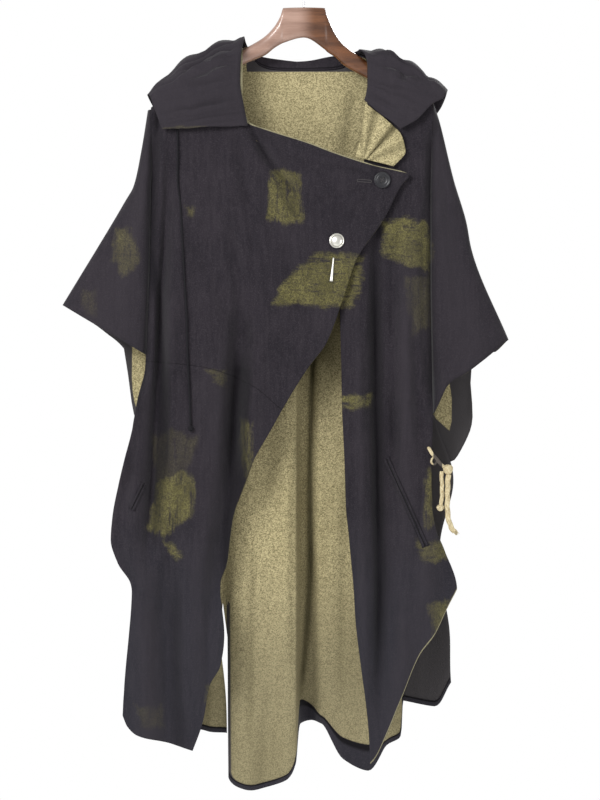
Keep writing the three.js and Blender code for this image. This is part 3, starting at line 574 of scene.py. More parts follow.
def search(low, high, short):
    """Where between low and high a test stops being true."""
    for _ in range(24):
        middle = (low + high) / 2
        low, high = (middle, high) if short(middle) else (low, middle)
    return low


def reach(drop, side):
    """How far out the shoulder reaches at a drop."""
    return search(40.0, 320.0, lambda x: shoulder(side * x) < drop)


def turned(x, drop):
    """How far the cloth has turned over the shoulder, from 0 on its top to 1 on its face."""
    t = clamp((drop - shoulder(x)) / 15)
    return math.sqrt(1 - (1 - t) ** 2)


def sheet(name, us, vs, place, finishes, flip=False, facts=None, cut=None, thick=CLOTH):
    """A cloth wall over two lists of shares; facts gives each point's own values by name. Its UV map is
    the cloth laid flat, in metres."""
    points = [[Vector(place(u, v)) for u in us] for v in vs]
    across = [[0.0] for _ in vs]
    for run, row in zip(across, points):
        for a, b in zip(row, row[1:]):
            run.append(run[-1] + (b - a).length / 1000)
    down = [[0.0] * len(us)]
    for above, row in zip(points, points[1:]):
        down.append([d + (b - a).length / 1000 for d, a, b in zip(down[-1], above, row)])
    mesh = bmesh.new()
    grid = cover(mesh, [[p / 1000 for p in row] for row in points])
    spots = dict(zip(grid, [(j, i) for j in range(len(vs)) for i in range(len(us))]))
    if not flip:
        bmesh.ops.reverse_faces(mesh, faces=mesh.faces)
    layer = mesh.loops.layers.uv.new("cloth")
    for face in mesh.faces:
        for loop in face.loops:
            j, i = spots[loop.vert]
            loop[layer].uv = (across[j][i], down[j][i])
    if cut:
        gone = []
        for face in mesh.faces:
            j, i = min(spots[v] for v in face.verts)
            if cut(us[i], us[i + 1], points[j][i]):
                gone.append(face)
        bmesh.ops.delete(mesh, geom=gone, context="FACES")
    data = bpy.data.meshes.new(name)
    mesh.verts.index_update()
    order = [spots[v] for v in mesh.verts]
    mesh.to_mesh(data)
    mesh.free()
    if facts:
        values = [facts(us[i], vs[j], *points[j][i]) for j, i in order]
        for key in values[0]:
            store = data.attributes.new(key, "FLOAT", "POINT")
            store.data.foreach_set("value", [v[key] for v in values])
    for face in data.polygons:
        face.use_smooth = True
    for finish in finishes:
        data.materials.append(finish.material)
    piece = bpy.data.objects.new(name, data)
    bpy.context.collection.objects.link(piece)
    wall = piece.modifiers.new("thickness", "SOLIDIFY")
    wall.thickness = thick
    wall.offset = 0
    wall.use_even_offset = False
    wall.material_offset = 1
    wall.material_offset_rim = 2
    return piece


def share(n, pull=0.0):
    """Steps from 0 to 1, pulled closer together at both ends."""
    return [lerp(i / n, (1 - math.cos(math.pi * i / n)) / 2, pull) for i in range(n + 1)]


def wool(name, patches=True):
    """The outer face: black with a violet cast, woolly, with dyed patches. It is painted lighter and bluer
    towards the bottom and on lit parts as painted light, and darker in folds as painted shade. "stain" is how
    far inside a patch a point lies, in mm, and "stitch" how far it is from a seam."""
    black = Finish(name, (0.011, 0.009, 0.012), 0.95, Specular_IOR_Level=0.1, Sheen_Weight=0.05,
                   Sheen_Roughness=0.5)
    fuzz = black.noise(620, 4, 0.7)
    cloud = black.noise(9, 4, 0.6)
    rub = black.noise(34, 4, 0.7, stretch=(1, 1, 0.5))
    base = black.mix(cloud.span(0.3, 0.7), (0.0085, 0.0072, 0.0098), (0.0135, 0.0112, 0.0145))
    nap = black.noise(170, 3, 0.7, stretch=(1, 1, 0.12))
    base = black.mix(nap.span(0.45, 0.66) * 0.3, base, (0.021, 0.018, 0.0215))
    base = black.mix(nap.span(0.50, 0.36) * 0.22, base, (0.0050, 0.0044, 0.0060))
    base = black.mix(fuzz.span(0.50, 0.62) * 0.6, base, (0.031, 0.0265, 0.031))
    # Painted light: the wool is painted lighter and bluer towards the bottom of the skirts.
    base = black.mix(black.along("Z").span(-0.85, -1.15) * 0.35, base, (0.020, 0.021, 0.027))
    if patches:
        down = black.noise(150, 4, 0.75, stretch=(1, 1, 0.13))
        level = black.noise(150, 4, 0.75, stretch=(0.13, 1, 1))
        brush = down + (level - down) * black.own("lay")
        ragged = black.noise(38, 3, 0.7)
        depth = black.own("stain") + 2.5 + (brush - 0.5) * 20 + (ragged - 0.5) * 22
        dye = black.mix(fuzz.span(0.3, 0.7), (0.030, 0.028, 0.010), (0.135, 0.120, 0.046))
        dye = black.mix(rub.span(0.35, 0.7) * 0.55, dye, (0.022, 0.020, 0.009))
        worn = black.noise(260, 3, 0.75).span(0.36, 0.54) * 0.5 + 0.5
        soaked = depth.span(-1.5, 10.0) * brush.span(0.30, 0.50) * black.own("dye") * worn
        base = black.mix(soaked, base, dye)
    # Painted light: a lighter tone on lit fold ridges, on the sleeves and over the collar.
    base = black.mix(black.own("faded"), base, (0.0215, 0.0185, 0.0225))
    # Painted shade: darker in creases, fold valleys, gather dents and beside seams.
    base = black.mix(black.own("hollow") * 0.6, base, (0.0025, 0.0022, 0.003))
    line = black.own("stitch").math("ABSOLUTE").span(0.5, 2.0)
    base = black.mix(line, (0.0035, 0.003, 0.004), base)
    torn = black.own("edge").span(0.2, 0.9) * fuzz.span(0.2, 0.5)
    base = black.mix(torn, base, (0.17, 0.155, 0.095))
    black.feed("Base Color", base)
    black.bump(fuzz * 0.7 + line * 0.8, 0.0012, 0.6)
    return black


def melange(name, bound=False):
    """The inner face: olive and pale fibres spun together, with painted shade in its folds and towards the bottom, and
    a black band where it is bound, painted paler as painted light.
    """
    olive = Finish(name, (0.17, 0.145, 0.064), 0.95, Specular_IOR_Level=0.1)
    fleck = olive.cells(640)
    fine = olive.noise(620, 2, 0.7)
    cloud = olive.noise(6, 3, 0.6)
    grain = fleck.span(0.0, 1.0) * 0.6 + fine.span(0.3, 0.7) * 0.4
    base = olive.mix(grain, (0.078, 0.066, 0.033), (0.385, 0.334, 0.188))
    base = olive.mix(cloud.span(0.35, 0.7) * 0.2, base, (0.100, 0.083, 0.036))
    # Painted shade: the olive is painted darker towards the bottom of the tail.
    base = olive.mix(olive.along("Z").span(-0.95, -1.25) * 0.6, base, (0.105, 0.092, 0.056))
    # Painted shade: darker in crease valleys and pleats, and a painted shadow where the right front shades the back's
    # inside.
    shade = olive.own("hollow") + olive.own("shade")
    base = olive.mix(shade * 0.75, base, (0.040, 0.034, 0.016))
    if bound:
        # The black binding: real black cloth, painted paler than the outer black as painted light for the shade it
        # lies in.
        base = olive.mix(olive.own("band").span(-0.6, 0.6), base, (0.034, 0.0315, 0.033))
    olive.feed("Base Color", base)
    olive.bump(fine, 0.0012, 0.5)
    return olive


black_wool = wool("black_wool")
plain_wool = wool("plain_wool", patches=False)
olive_wool = melange("olive_wool")
olive_bound = melange("olive_bound", bound=True)
raw = Finish("raw_edge", (0.07, 0.06, 0.035), 0.95, Specular_IOR_Level=0.1)
raw.feed("Base Color", raw.mix(raw.noise(600, 2).span(0.4, 0.6), (0.035, 0.031, 0.018), (0.11, 0.098, 0.05)))
dark_edge = Finish("dark_edge", (0.011, 0.009, 0.012), 0.93, Specular_IOR_Level=0.1)
lined = (black_wool, olive_wool, raw)
all_black = (plain_wool, plain_wool, dark_edge)

# Dyed patches on the black side, brushed on unevenly: each row has how strong it is, which way its
# strokes lie, from 0 down to 1 across, and its corners.
PATCHES = (
    (0.85, 0, (-58, 366), (-40, 356), (-8, 364), (-2, 400), (0, 448), (-34, 452), (-62, 440)),
    (0.95, 1, (-74, 582), (-34, 546), (-6, 498), (40, 496), (100, 504), (94, 566), (84, 592), (10, 588)),
    (0.9, 0.9, (130, 448), (160, 440), (206, 444), (216, 500), (206, 540), (172, 522), (134, 516)),
    (0.95, 1, (60, 738), (112, 735), (112, 758), (66, 762)),
    (0.5, 0, (-200, 420), (-182, 424), (-184, 440), (-194, 438)),
    (0.85, 0.2, (-316, 458), (-292, 456), (-276, 500), (-284, 530), (-304, 538), (-322, 512)),
    (0.3, 0.2, (-376, 560), (-350, 562), (-346, 606), (-366, 600)),
    (0.5, 0.8, (-162, 694), (-134, 698), (-128, 724), (-150, 714)),
    (0.75, 0, (-106, 778), (-86, 782), (-84, 850), (-96, 876), (-108, 830)),
    (0.22, 0.3, (-256, 806), (-222, 794), (-178, 808), (-190, 850), (-214, 892), (-250, 876)),
    (0.9, 0.12, (-244, 876), (-210, 848), (-188, 874), (-175, 902), (-192, 944), (-234, 974),
     (-263, 958)),
    (0.8, 0.8, (-232, 984), (-220, 984), (-200, 1008), (-210, 1014), (-226, 1002)),
    (0.3, 0.5, (-278, 1256), (-240, 1256), (-234, 1290), (-272, 1292)),
    (0.5, 0, (-164, 1222), (-148, 1218), (-150, 1250), (-164, 1248)),
    (0.85, 0, (206, 860), (216, 856), (220, 944), (208, 958), (201, 930)),
    (0.7, 1, (188, 982), (236, 978), (246, 1014), (200, 1018)),
    (0.7, 0.1, (206, 1086), (244, 1078), (236, 1138), (214, 1152)),
    (0.3, 0.1, (168, 540), (210, 536), (214, 624), (180, 636)),
)


def inside(corners, x, drop):
    """How far inside a patch's corners a point lies, in mm."""
    return min(
        -((x - ax) * (bd - ad) - (drop - ad) * (bx - ax)) / math.hypot(bx - ax, bd - ad)
        for (ax, ad), (bx, bd) in zip(corners, corners[1:] + corners[:1]))


def stain(x, drop):
    """The deepest patch at a point: how far inside, how strong, and its strokes' way."""
    return max((inside(corners, x, drop), power, lay) for power, lay, *corners in PATCHES)


RIGHT_EDGES = Table("drop left right", [
    (157, -258, -103), (230, -258, -103), (262, -256, -99), (280, -256, -91), (293, -256, -58),
    (315, -256, 12), (333, -256, 58), (353, -256, 121), (368, -256, 177), (386, -257, 163),
    (442, -258, 134), (512, -259, 87), (574, -261, 66), (649, -264, 38), (690, -266, 8),
    (740, -277, -24), (798, -288, -57), (844, -300, -83), (882, -309, -97), (939, -320, -117),
    (978, -323, -123), (1018, -311, -128), (1053, -289, -140), (1066, -287, -140), (1091, -288, -137),
    (1137, -292, -133), (1187, -297, -139), (1224, -300, -158), (1283, -303, -169), (1331, -303, -186),
])
RIGHT_WAIST = Table("share drop", [(0, 680), (0.31, 688), (0.66, 715), (1, 762)])
RIGHT_HEM = Table("share drop", [(0, 1272), (0.06, 1290), (0.2, 1305), (0.55, 1316), (1, 1331)])
RIGHT_FOLDS = Table("from x0 to x1 deep left right", [
    (250, -246, 1010, -286, 8, 10, 9), (262, -222, 990, -262, -19, 7, 13),
    (300, -208, 900, -226, 6, 10, 22), (278, -96, 440, -10, -9, 7, 15), (300, -66, 560, 4, 6, 14, 30),
    (420, -158, 1240, -176, 8, 26, 24), (520, -100, 1080, -140, -26, 17, 17),
    (560, -62, 860, -98, 7, 14, 22), (940, -272, 1400, -262, 12, 24, 22),
    (980, -226, 1400, -222, -11, 20, 18),
])
RIGHT_CREASES = Table("x0 d0 x1 d1 bow deep wide", [
    (-90, 286, -12, 402, 5, -9, 5), (-78, 290, 2, 408, 5, 5, 9), (-60, 300, 40, 372, 8, -2.6, 7),
    (120, 372, 20, 350, 4, -3.2, 5), (118, 384, 10, 410, -6, -3.2, 7), (112, 392, 40, 470, -8, -2.4, 8),
    (60, 352, -40, 330, 3, 2.0, 8), (-30, 470, 30, 640, 14, -3.2, 12), (-114, 300, -92, 420, 3, -5, 9),
    (-120, 420, -96, 640, 6, -3.4, 12), (-230, 700, -120, 724, -6, -1.6, 7),
    (-140, 690, -60, 700, 4, -2.0, 6), (-150, 560, -60, 668, 10, -2.6, 10),
    (-244, 262, -252, 560, 4, -9, 8), (-248, 520, -232, 880, -4, -8, 10), (-228, 430, -222, 700, 0, 4, 9),
    (-114, 690, -104, 920, 4, -8, 13), (-90, 760, -150, 960, -8, 3.4, 12), (-132, 620, -140, 900, 0, 4, 14),
    (-200, 900, -240, 1120, 8, -3.6, 12), (-180, 1000, -200, 1260, 6, 3.8, 14),
    (-150, 960, -160, 1240, 4, -4, 10), (-282, 700, -300, 900, -12, -4, 8),
    (-300, 1020, -250, 1080, 6, -4, 9), (-290, 980, -230, 1010, 4, 2.6, 8),
    (-40, 560, 10, 600, 3, -1.6, 5), (-200, 600, -140, 610, 4, -1.4, 6),
])
LEFT_EDGES = Table("drop left right", [
    (157, 106, 217), (300, 106, 215), (350, 99, 214), (400, 75, 213), (472, 60, 213), (561, 59, 213),
    (626, 61, 214), (765, 64, 216), (856, 68, 213), (924, 70, 214), (964, 74, 221), (996, 77, 235),
    (1061, 83, 256), (1111, 86, 254), (1187, 95, 254), (1299, 108, 254), (1354, 111, 254),
])
LEFT_WAIST = Table("share drop", [(0, 726), (0.5, 740), (1, 762)])
LEFT_HEM = Table("share drop", [
    (0, 1354), (0.06, 1344), (0.18, 1312), (0.4, 1243), (0.62, 1172), (0.78, 1138), (0.96, 1076),
    (1, 1062),
])
LEFT_FOLDS = Table("from x0 to x1 deep left right", [
    (430, 86, 1250, 100, 7, 16, 12), (400, 118, 1200, 126, -15, 8, 13),
    (360, 168, 1000, 172, 9, 20, 22), (640, 146, 1150, 150, -7, 12, 12), (260, 200, 760, 203, 5, 14, 8),
    (800, 205, 1300, 214, 8, 22, 18), (980, 176, 1420, 150, 9, 20, 24),
])
LEFT_CREASES = Table("x0 d0 x1 d1 bow deep wide", [
    (118, 470, 128, 1010, 5, -8, 11), (150, 560, 156, 860, 3, -4.5, 7), (186, 640, 192, 1010, -6, -3.6, 9),
    (172, 560, 176, 800, 2, 4, 9), (156, 850, 170, 1180, 10, 3.2, 10), (84, 780, 96, 1240, 4, -3.4, 8),
    (212, 900, 232, 1010, -6, -4, 8), (130, 1020, 128, 1290, 6, -4.6, 10), (170, 420, 150, 640, 10, -3, 12),
    (202, 420, 204, 720, 3, -6, 7), (200, 1020, 176, 1180, -8, 3.2, 12), (110, 400, 130, 470, 6, -3, 7),
    (150, 990, 196, 1060, 4, -2.4, 8), (80, 600, 86, 760, 2, -2, 7),
])


def front(edges, side, top, waist, hem, base, list_, wrinkles, seed):
    """The functions of a front: its edges at a drop, its surface, and its place at two shares."""
    store = {}

    def spread(drop):
        if drop not in store:
            left, right = edges.at("left", drop), edges.at("right", drop)
            if drop < SHOULDER_LOW:
                if side < 0:
                    left = max(left, -reach(drop, -1))
                else:
                    right = min(right, reach(drop, 1))
            store[drop] = left, right
        return store[drop]

    def surface(x, drop):
        left, right = spread(drop)
        seam = x - left if side < 0 else right - x
        tuck = 0.55 * bell(seam / 10) * ease((760 - drop) / 60) * ease((drop - 275) / 50)
        away = ease(seam / 16) if drop < 790 else 1.0
        middle = waist.at("drop", clamp((x - left) / max(1.0, right - left)))
        gather = -1.3 * bell((drop - middle) / 3.2) - 0.5 * bell((drop - middle) / 16) * math.sin(x / 5.5)
        deep = base(x, drop) + folds(list_, x, drop)
        uneven = ripple(x, drop, seed, ease((drop - SHOULDER_LOW) / 60))
        fine = (uneven + creases(wrinkles, x, drop) + gather) * away
        return -SEAM - turned(x, drop) * (deep * (1 - tuck) + fine)

    def place(u, v):
        middle, low = waist.at("drop", u), hem.at("drop", u)
        drop = lerp(top, middle, v) if v <= 1 else lerp(middle, low, v - 1)
        x = lerp(*spread(drop), u)
        return x, surface(x, drop), -drop

    def facts(u, v, x, y, z):
        left, right = spread(-z)
        free = right - x if side < 0 else x - left
        middle, low = waist.at("drop", u), hem.at("drop", u)
        depth, power, lay = stain(x, -z)
        # Painted light and shade follow the folds, shifted on the right front to where its shade falls.
        shift, start = (12, 620) if side < 0 else (0, 400)
        dip = folds(list_, x - shift, -z) * ease((-z - start) / 150) + creases(wrinkles, x, -z)
        if side < 0:
            seam, bare = x - left, free * 0.27 if -z < LAPEL_LOW else 2.0
        else:
            seam, bare = x - right, (low + z) * 0.55
        return {
            "stain": depth, "dye": power, "lay": lay, "edge": 2.0 - bare,
            # Painted light on fold ridges; painted shade in valleys and beside the sleeve seam.
            "faded": 0.55 * clamp((dip - 1) / 12),
            "hollow": clamp((-1 - dip) / 14) ** 1.2
            + 0.5 * bell(seam / 7) * ease((-z - SHOULDER_LOW) / 60) * ease((800 + z) / 60),
            "stitch": min(abs(-z - middle) + (0.9 if side < 0 else 1.5), abs(free - 8) + 1.3,
                          abs(low + z - 11) + 1.4),
        }

    return spread, surface, place, facts


right_spread, right_surface, right_place, right_facts = front(
    RIGHT_EDGES, -1, shoulder(-104) + 0.5, RIGHT_WAIST, RIGHT_HEM,
    lambda x, drop: 24 + 18 * ease((drop - 230) / 900)
    + 7 * ease((x + 20) / 90) * ease((drop - 300) / 60), RIGHT_FOLDS, RIGHT_CREASES, 2.0)
left_spread, left_surface, left_place, left_facts = front(
    LEFT_EDGES, 1, shoulder(107) + 0.5, LEFT_WAIST, LEFT_HEM,
    lambda x, drop: 21 + 12 * ease((drop - 240) / 900), LEFT_FOLDS, LEFT_CREASES, 7.0)
upper, lower = share(120), share(140)
down_front = upper + [1 + v for v in lower[1:]]
right_front = sheet(
    "right_front_cloth", share(112, 0.25), down_front, right_place, lined, facts=right_facts)
left_front = sheet(
    "left_front_cloth", share(64, 0.25), down_front, left_place, lined, facts=left_facts)
belong(right_front, "black_wool", "right_front_bodice", "right_front_skirt")
belong(left_front, "black_wool", "left_front_bodice", "left_front_skirt")


# Back: one panel of the same wool from the neck and the shoulders to a long tail, olive inside, with
# its hem and sides bound in black. A slit opens low down, and the tail hangs forward of a deep fold.
NECK_LOW = 189
NECK_HALF = 99
SLIT_TOP = 1085
SLIT = 5, 6
LAST = 21
BACK_LINES = Table("at top hem drop deep bind", [
    (0, -253, -284, 1264, 30, 9), (1, -234, -260, 1280, 46, 9), (2, -206, -225, 1296, 60, 9),
    (3, -172, -172, 1303, 44, 9), (4, -152, -155, 1306, 32, 9), (5, -138, -130, 1308, 36, 9),
    (6, -134, -127, 1382, 30, 9), (7, -118, -108, 1399, 18, 9), (8, -99, -89, 1403, 16, 9),
    (9, -62, -62, 1398, 26, 9), (10, -27, -26, 1382, 12, 9), (11, -16, -15, 1360, 14, 9),
    (12, -4, -7, 1294, 56, 40), (13, 10, 13, 1289, 74, 26), (14, 30, 31, 1294, 56, 13),
    (15, 64, 66, 1352, 44, 36), (16, 106, 109, 1372, 40, 44), (17, 126, 140, 1328, 34, 9),
    (18, 144, 163, 1313, 38, 9), (19, 158, 168, 1254, 48, 9), (20, 190, 221, 1263, 40, 9),
    (21, 210, 247, 1222, 30, 9),
])
BACK_CREASES = Table("x0 d0 x1 d1 bow deep wide", [
    (21, 560, 11, 1010, 4, 9, 4.5), (12, 980, -4, 1230, -3, 8, 5), (32, 640, 26, 1180, 4, -5, 10),
    (-14, 780, -20, 1180, 3, 3, 7), (-84, 1000, -88, 1300, 3, 2.5, 8), (-66, 900, -70, 1320, -3, -4, 12),
    (70, 900, 62, 1240, 2, 2.5, 8), (-60, 240, -30, 420, 10, 1.2, 14), (84, 230, 70, 360, 4, 2.5, 8),
    (16, 500, 30, 690, -3, 7, 16), (46, 1000, 40, 1260, 2, -3, 10), (-118, 1000, -121, 1330, 2, -3, 6),
])


def neck_line(x):
    return min(NECK_LOW, max(shoulder(x), NECK_LOW - 42 * abs(x / 98) ** 6))


def back_top(u):
    start = BACK_LINES.at("top", u)
    return neck_line(start) if abs(start) < NECK_HALF else shoulder(start)


def back_place(u, v, fine=1.0):
    start, low = BACK_LINES.at("top", u), BACK_LINES.at("drop", u)
    drop = lerp(back_top(u), low, v)
    aside = clamp((u - 19) / 2)
    x = lerp(start, BACK_LINES.at("hem", u), v ** lerp(1, 3.5, aside))
    x += aside ** 2 * (34 * bell((drop - 876) / 80) + 9 * bell((drop - 1130) / 65))
    if u <= SLIT[0]:
        x -= 10 * bell((drop - 1145) / 75) * bell((u - SLIT[0]) / 0.8)
    deep = lerp(28, BACK_LINES.at("deep", u), ease(v * 1.1))
    behind = max(turned(x, drop), ease((NECK_HALF - abs(start)) / 8))
    free = ease((drop - SHOULDER_LOW) / 60) * ease(u / 1.5) * ease((LAST - u) / 1.5)
    wave = ripple(x, drop, 13.0, 0.9 * fine * free) + fine * creases(BACK_CREASES, x, drop)
    return x, SEAM + behind * (deep + wave), -drop


def back_facts(u, v, x, y, z):
    low = BACK_LINES.at("drop", u)
    wide = BACK_LINES.at("bind", u)
    side = 99
    if u < 3:
        side = x - back_place(0, v, 0)[0]
    elif u > 18:
        side = back_place(LAST, v, 0)[0] - x
    corner = ease((u - 18) / 0.6) * (70 * ease((-z - 1020) / 50) + 42 * bell((-z - 900) / 80))
    slit = abs(u - SLIT[1]) * 9 if -z > SLIT_TOP and 5.5 < u < 7 else 99
    neck = NECK_LOW + 2 + z if abs(x) < 97 else -9
    return {
        "band": max(wide - (low + z), 22 - side + corner, 3.2 - slit, neck),
        "stitch": abs(wide + 1.5 - (low + z)),
        # Painted shade in the crease valleys, and a painted shadow where the right front shades the back's inside.
        "hollow": clamp(creases(BACK_CREASES, x, -z) / 7),
        "shade": 0.65 * ease((-z - 420) / 60) * ease((780 + z) / 160),
    }


NECK_CORNERS = [8.04, 8.08, 8.14, 15.66, 15.74, 15.81, 15.88]
back_us = NECK_CORNERS + [LAST]
for k in range(LAST):
    gap = BACK_LINES.rows[k + 1]["hem"] - BACK_LINES.rows[k]["hem"]
    deep = BACK_LINES.rows[k + 1]["deep"] - BACK_LINES.rows[k]["deep"]
    count = 1 if k == SLIT[0] else max(4, round(math.hypot(gap, deep) / 3.8))
    back_us += [k + i / count for i in range(count)]
back_us.sort()
back_vs = [0, 0.0008, 0.002, 0.004, 0.007, 0.0105, 0.0135, 0.018] + [0.024 + 0.976 * v for v in share(150)]
back = sheet("back_panel", back_us, back_vs, back_place, (plain_wool, olive_bound, dark_edge), flip=True,
             facts=back_facts, cut=lambda a, b, p: (a, b) == SLIT and -p[2] > SLIT_TOP)
belong(back, "double_wool", "back")


# Sleeves: wide batwings of the same wool, each cut in one with a folded outer edge. A sleeve runs from
# the front's side line out round the fold to the back's, is sewn to both and stays open at its hem.
PLAIN_HEM = Table("in lower out", [(0, 0, 0), (1, 0, 0)])


def back_side(u):
    """The place on one of the back's sides at a drop."""
    return lambda drop: back_place(u, search(0.0, 1.0, lambda v: -back_place(u, v, 0)[2] < drop), 0)


def sleeve(name, side, joint_front, joint_back, edge, high, front_low, back_low, front_hem, back_hem,
           bulge, seed, flat, area, olive):
    store = {}

    def place(u, v):
        angle = abs(u) * math.pi / 2
        ahead = u < 0
        inward = 1 - math.cos(angle)
        seam = lerp(high, front_low if ahead else back_low, v)
        key = (ahead, v)
        if key not in store:
            store[key] = (joint_front if ahead else joint_back)(seam)
        joint = store[key]
        hem = front_hem if ahead else back_hem
        drop = lerp(edge.at("drop", v), seam, inward) + hem.at("lower", inward) * v ** 3
        late = 0 if ahead or side < 0 else ease((seam - 640) / 60)
        apart = SEAM - 14 * late * inward ** 6
        x = (lerp(edge.at("x", v), joint[0] + side * apart, inward)
             + hem.at("out", inward) * v ** 3)
        soft = math.sin(2 * angle) * ease(v * 2)
        swell = (bulge + ripple(x, drop, seed, 1.2) + 3.2 * math.sin(5.5 * inward + 2 * v + seed)) * soft
        beside = abs(x - joint[0]) / 9
        roll = 8 * beside * math.exp(1 - beside) * ease(v * 4) if ahead else 0
        y = joint[1] * math.sin(angle) + (-1 if ahead else 1) * (swell + roll) + 5 * late * inward ** 4
        return x, y, -drop

    def facts(u, v, x, y, z):
        inward = 1 - math.cos(abs(u) * math.pi / 2)
        depth, power, lay = stain(x, -z) if u < 0 else (-60, 0, 0)
        seam = 190 * (1 - v)
        joint_x = store[u < 0, v][0]
        return {"stain": depth, "dye": power, "lay": lay, "stitch": abs(seam - 12) + 1.4,
                "band": -inside(olive, x, -z) if u > 0 else 12 - seam,
                # Painted light along the middle of the sleeve; painted shade beside its front seam.
                "faded": 0.45 * math.sin(math.pi * inward) + 0.1,
                "hollow": 0.5 * bell((x - joint_x) / 8) if u < 0 else 0}

    round_edge = [2 * t - 1 for t in share(72)]
    piece = sheet(name + "_cloth", round_edge, [v * (0.35 + 0.65 * v) for v in share(84)], place,
                  (black_wool, olive_bound, raw), flip=side < 0, facts=facts)
    belong(piece, "black_wool", name)
    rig.sheet(piece, flat=flat, held="hung", area=area)


sleeve(
    "sleeve_right", -1,
    lambda drop: (right_spread(drop)[0], right_surface(right_spread(drop)[0], drop)),
    back_side(0),
    Table("at x drop", [(0, -261.5, 259), (0.2, -272, 325), (0.4, -285, 385), (0.5, -300, 412),
                        (1, -405, 586)]),
    259, 669, 792, PLAIN_HEM,
    Table("in lower out", [(0, 0, 0), (0.5, -58, 2), (0.7, -72, 6), (0.78, 0, 8), (0.86, 14, 4),
                           (1, 0, 0)]),
    13, 21.0, (0.45, 0.44), 0.068, [(-290, 640), (-262, 640), (-268, 730), (-284, 762), (-291, 720)])
sleeve(
    "sleeve_left", 1,
    lambda drop: (left_spread(drop)[1], left_surface(left_spread(drop)[1], drop)),
    back_side(LAST),
    Table("at x drop", [(0, 216, 244), (0.12, 226, 275), (0.35, 251, 376), (0.52, 272, 446),
                        (0.63, 281, 493), (1, 343, 644)]),
    244, 770, 850,
    Table("in lower out", [(0, 0, 0), (0.54, -14, 0), (0.8, -26, 0), (0.96, -4, 0), (1, 0, 0)]),
    Table("in lower out", [(0, 0, 0), (0.2, -22, 0), (0.4, -60, 0), (0.47, -46, -16), (0.57, 10, -3),
                           (0.66, 18, 1), (0.84, 25, -1), (1, 0, 0)]),
    12, 27.0, (0.46, 0.50), 0.086, [(243, 700), (250, 740), (249, 800), (216, 770), (210, 720)])


# Collar: a wide unlined fall of the same wool that turns over round the neck and both shoulders and is
# gathered along its roll, and a narrow stand of the same cloth inside the back of the neck.
COLLAR_LINES = Table("at nx ny nd ox oy od puff", [
    (0.0, -94, -29, 286, -237, -37, 292, 0), (0.07, -101, -29, 250, -243, -39, 277, 0),
    (0.14, -107, -27, 212, -254, -34, 246, 5), (0.19, -105, -28, 168, -259, -28, 234, 14),
    (0.23, -102, -17, 145, -262, -14, 232, 18), (0.26, -100, 0, 136, -263, 0, 231, 20),
    (0.3, -98, 19, 142, -260, 22, 238, 18), (0.34, -86, 33, 160, -245, 40, 262, 12),
    (0.4, -45, 37, 168, -180, 52, 296, 5), (0.5, 0, 38, 173, 0, 58, 318, 0),
    (0.6, 45, 37, 168, 170, 52, 296, 5), (0.66, 80, 33, 163, 228, 40, 256, 10),
    (0.7, 90, 20, 160, 239, 22, 232, 15), (0.74, 94, 0, 159, 241, 0, 223, 18),
    (0.77, 101, -17, 165, 240, -15, 226, 15), (0.81, 106, -26, 184, 236, -28, 236, 10),
    (0.87, 107, -27, 208, 214, -34, 250, 4), (0.94, 104, -26, 232, 190, -36, 275, 0),
    (1.0, 101, -26, 243, 161, -36, 292, 0),
])
COLLAR_CREASES = Table("x0 d0 x1 d1 bow deep wide", [
    (150, 207, 164, 197, 0, 4, 3), (163, 197, 172, 213, 0, -4, 3), (170, 213, 192, 203, 0, 4, 3),
    (-112, 138, -128, 176, 2, -3, 5), (-148, 160, -164, 196, 2, -3, 5), (-190, 176, -198, 206, 2, -3, 6),
    (-216, 200, -176, 268, 6, -2, 8), (140, 180, 156, 262, 4, -3, 7), (206, 196, 214, 232, 2, -3, 6),
])


def collar_place(u, v, fine=1.0):
    row = COLLAR_LINES.row(u)
    out = v ** 0.9
    puff = row["puff"] / 20
    rise = row["puff"] * math.sin(math.pi * v ** 0.8) + 2.6 * math.sin(2 * math.pi * (3.2 * v + 0.4)) * puff
    sag = 5 * math.sin(math.pi * v) * math.copysign(1, row["oy"]) * (1 - puff) if row["oy"] else 0
    x, y = lerp(row["nx"], row["ox"], out), lerp(row["ny"], row["oy"], out) + sag
    drop = lerp(row["nd"], row["od"], out) - rise - (5 * x / 70 * bell(x / 80) if y > 0 else 0)
    wave = fine * ease(v * 6) * ease((1 - v) * 14 + 0.25) * (
        1.6 * noise.noise((x / 30, y / 20, drop / 34)) + 0.8 * noise.noise((x / 11, y / 9 + 3, drop / 12))
        + (2 + 24 * puff) * noise.noise((u * 58, 5, v * 1.5)) * bell((v - 0.35) / 0.4)
        + 11 * noise.noise((u * 130, 8, v * 3)) * puff * bell((v - 0.25) / 0.3)
        + creases(COLLAR_CREASES, x, drop) - 6 * puff * bell((v - 0.4) / 0.3))
    return x, y + math.copysign(1, y) * max(0, wave), -drop + wave


def collar_facts(u, v, x, y, z):
    dent = clamp(-noise.noise((u * 58, 5, v * 1.5)) * 1.6) * bell((v - 0.35) / 0.5)
    corner = 16 - abs(x + 206) / 3 - 900 * u if u < 0.03 and z < -262 else -60
    # Painted shade in the dents of the gathers; painted light over the whole collar.
    return {"hollow": 0.55 * dent, "faded": 0.6, "stain": corner, "dye": 0.7, "lay": 0,
            "stitch": abs((1 - v) * 150 - 8) + 1.3}


collar = sheet("collar_fall", share(200), share(30), collar_place,
               (black_wool, plain_wool, dark_edge), flip=True, facts=collar_facts)


def stand_place(u, v):
    foot = back_place(u, 0, 0)
    top = collar_place(lerp(0.345, 0.655, (foot[0] + 86) / 166), 0, 0)
    inward = Vector((-top[0] * 0.4, -top[1], 0)).normalized() * 3.5
    wave = 1.2 * math.sin(u * 2.2) * math.sin(math.pi * v)
    return (lerp(top[0] + inward.x, foot[0], v), lerp(top[1] + inward.y, foot[1], v) - wave,
            lerp(top[2], foot[2] + 1, v))


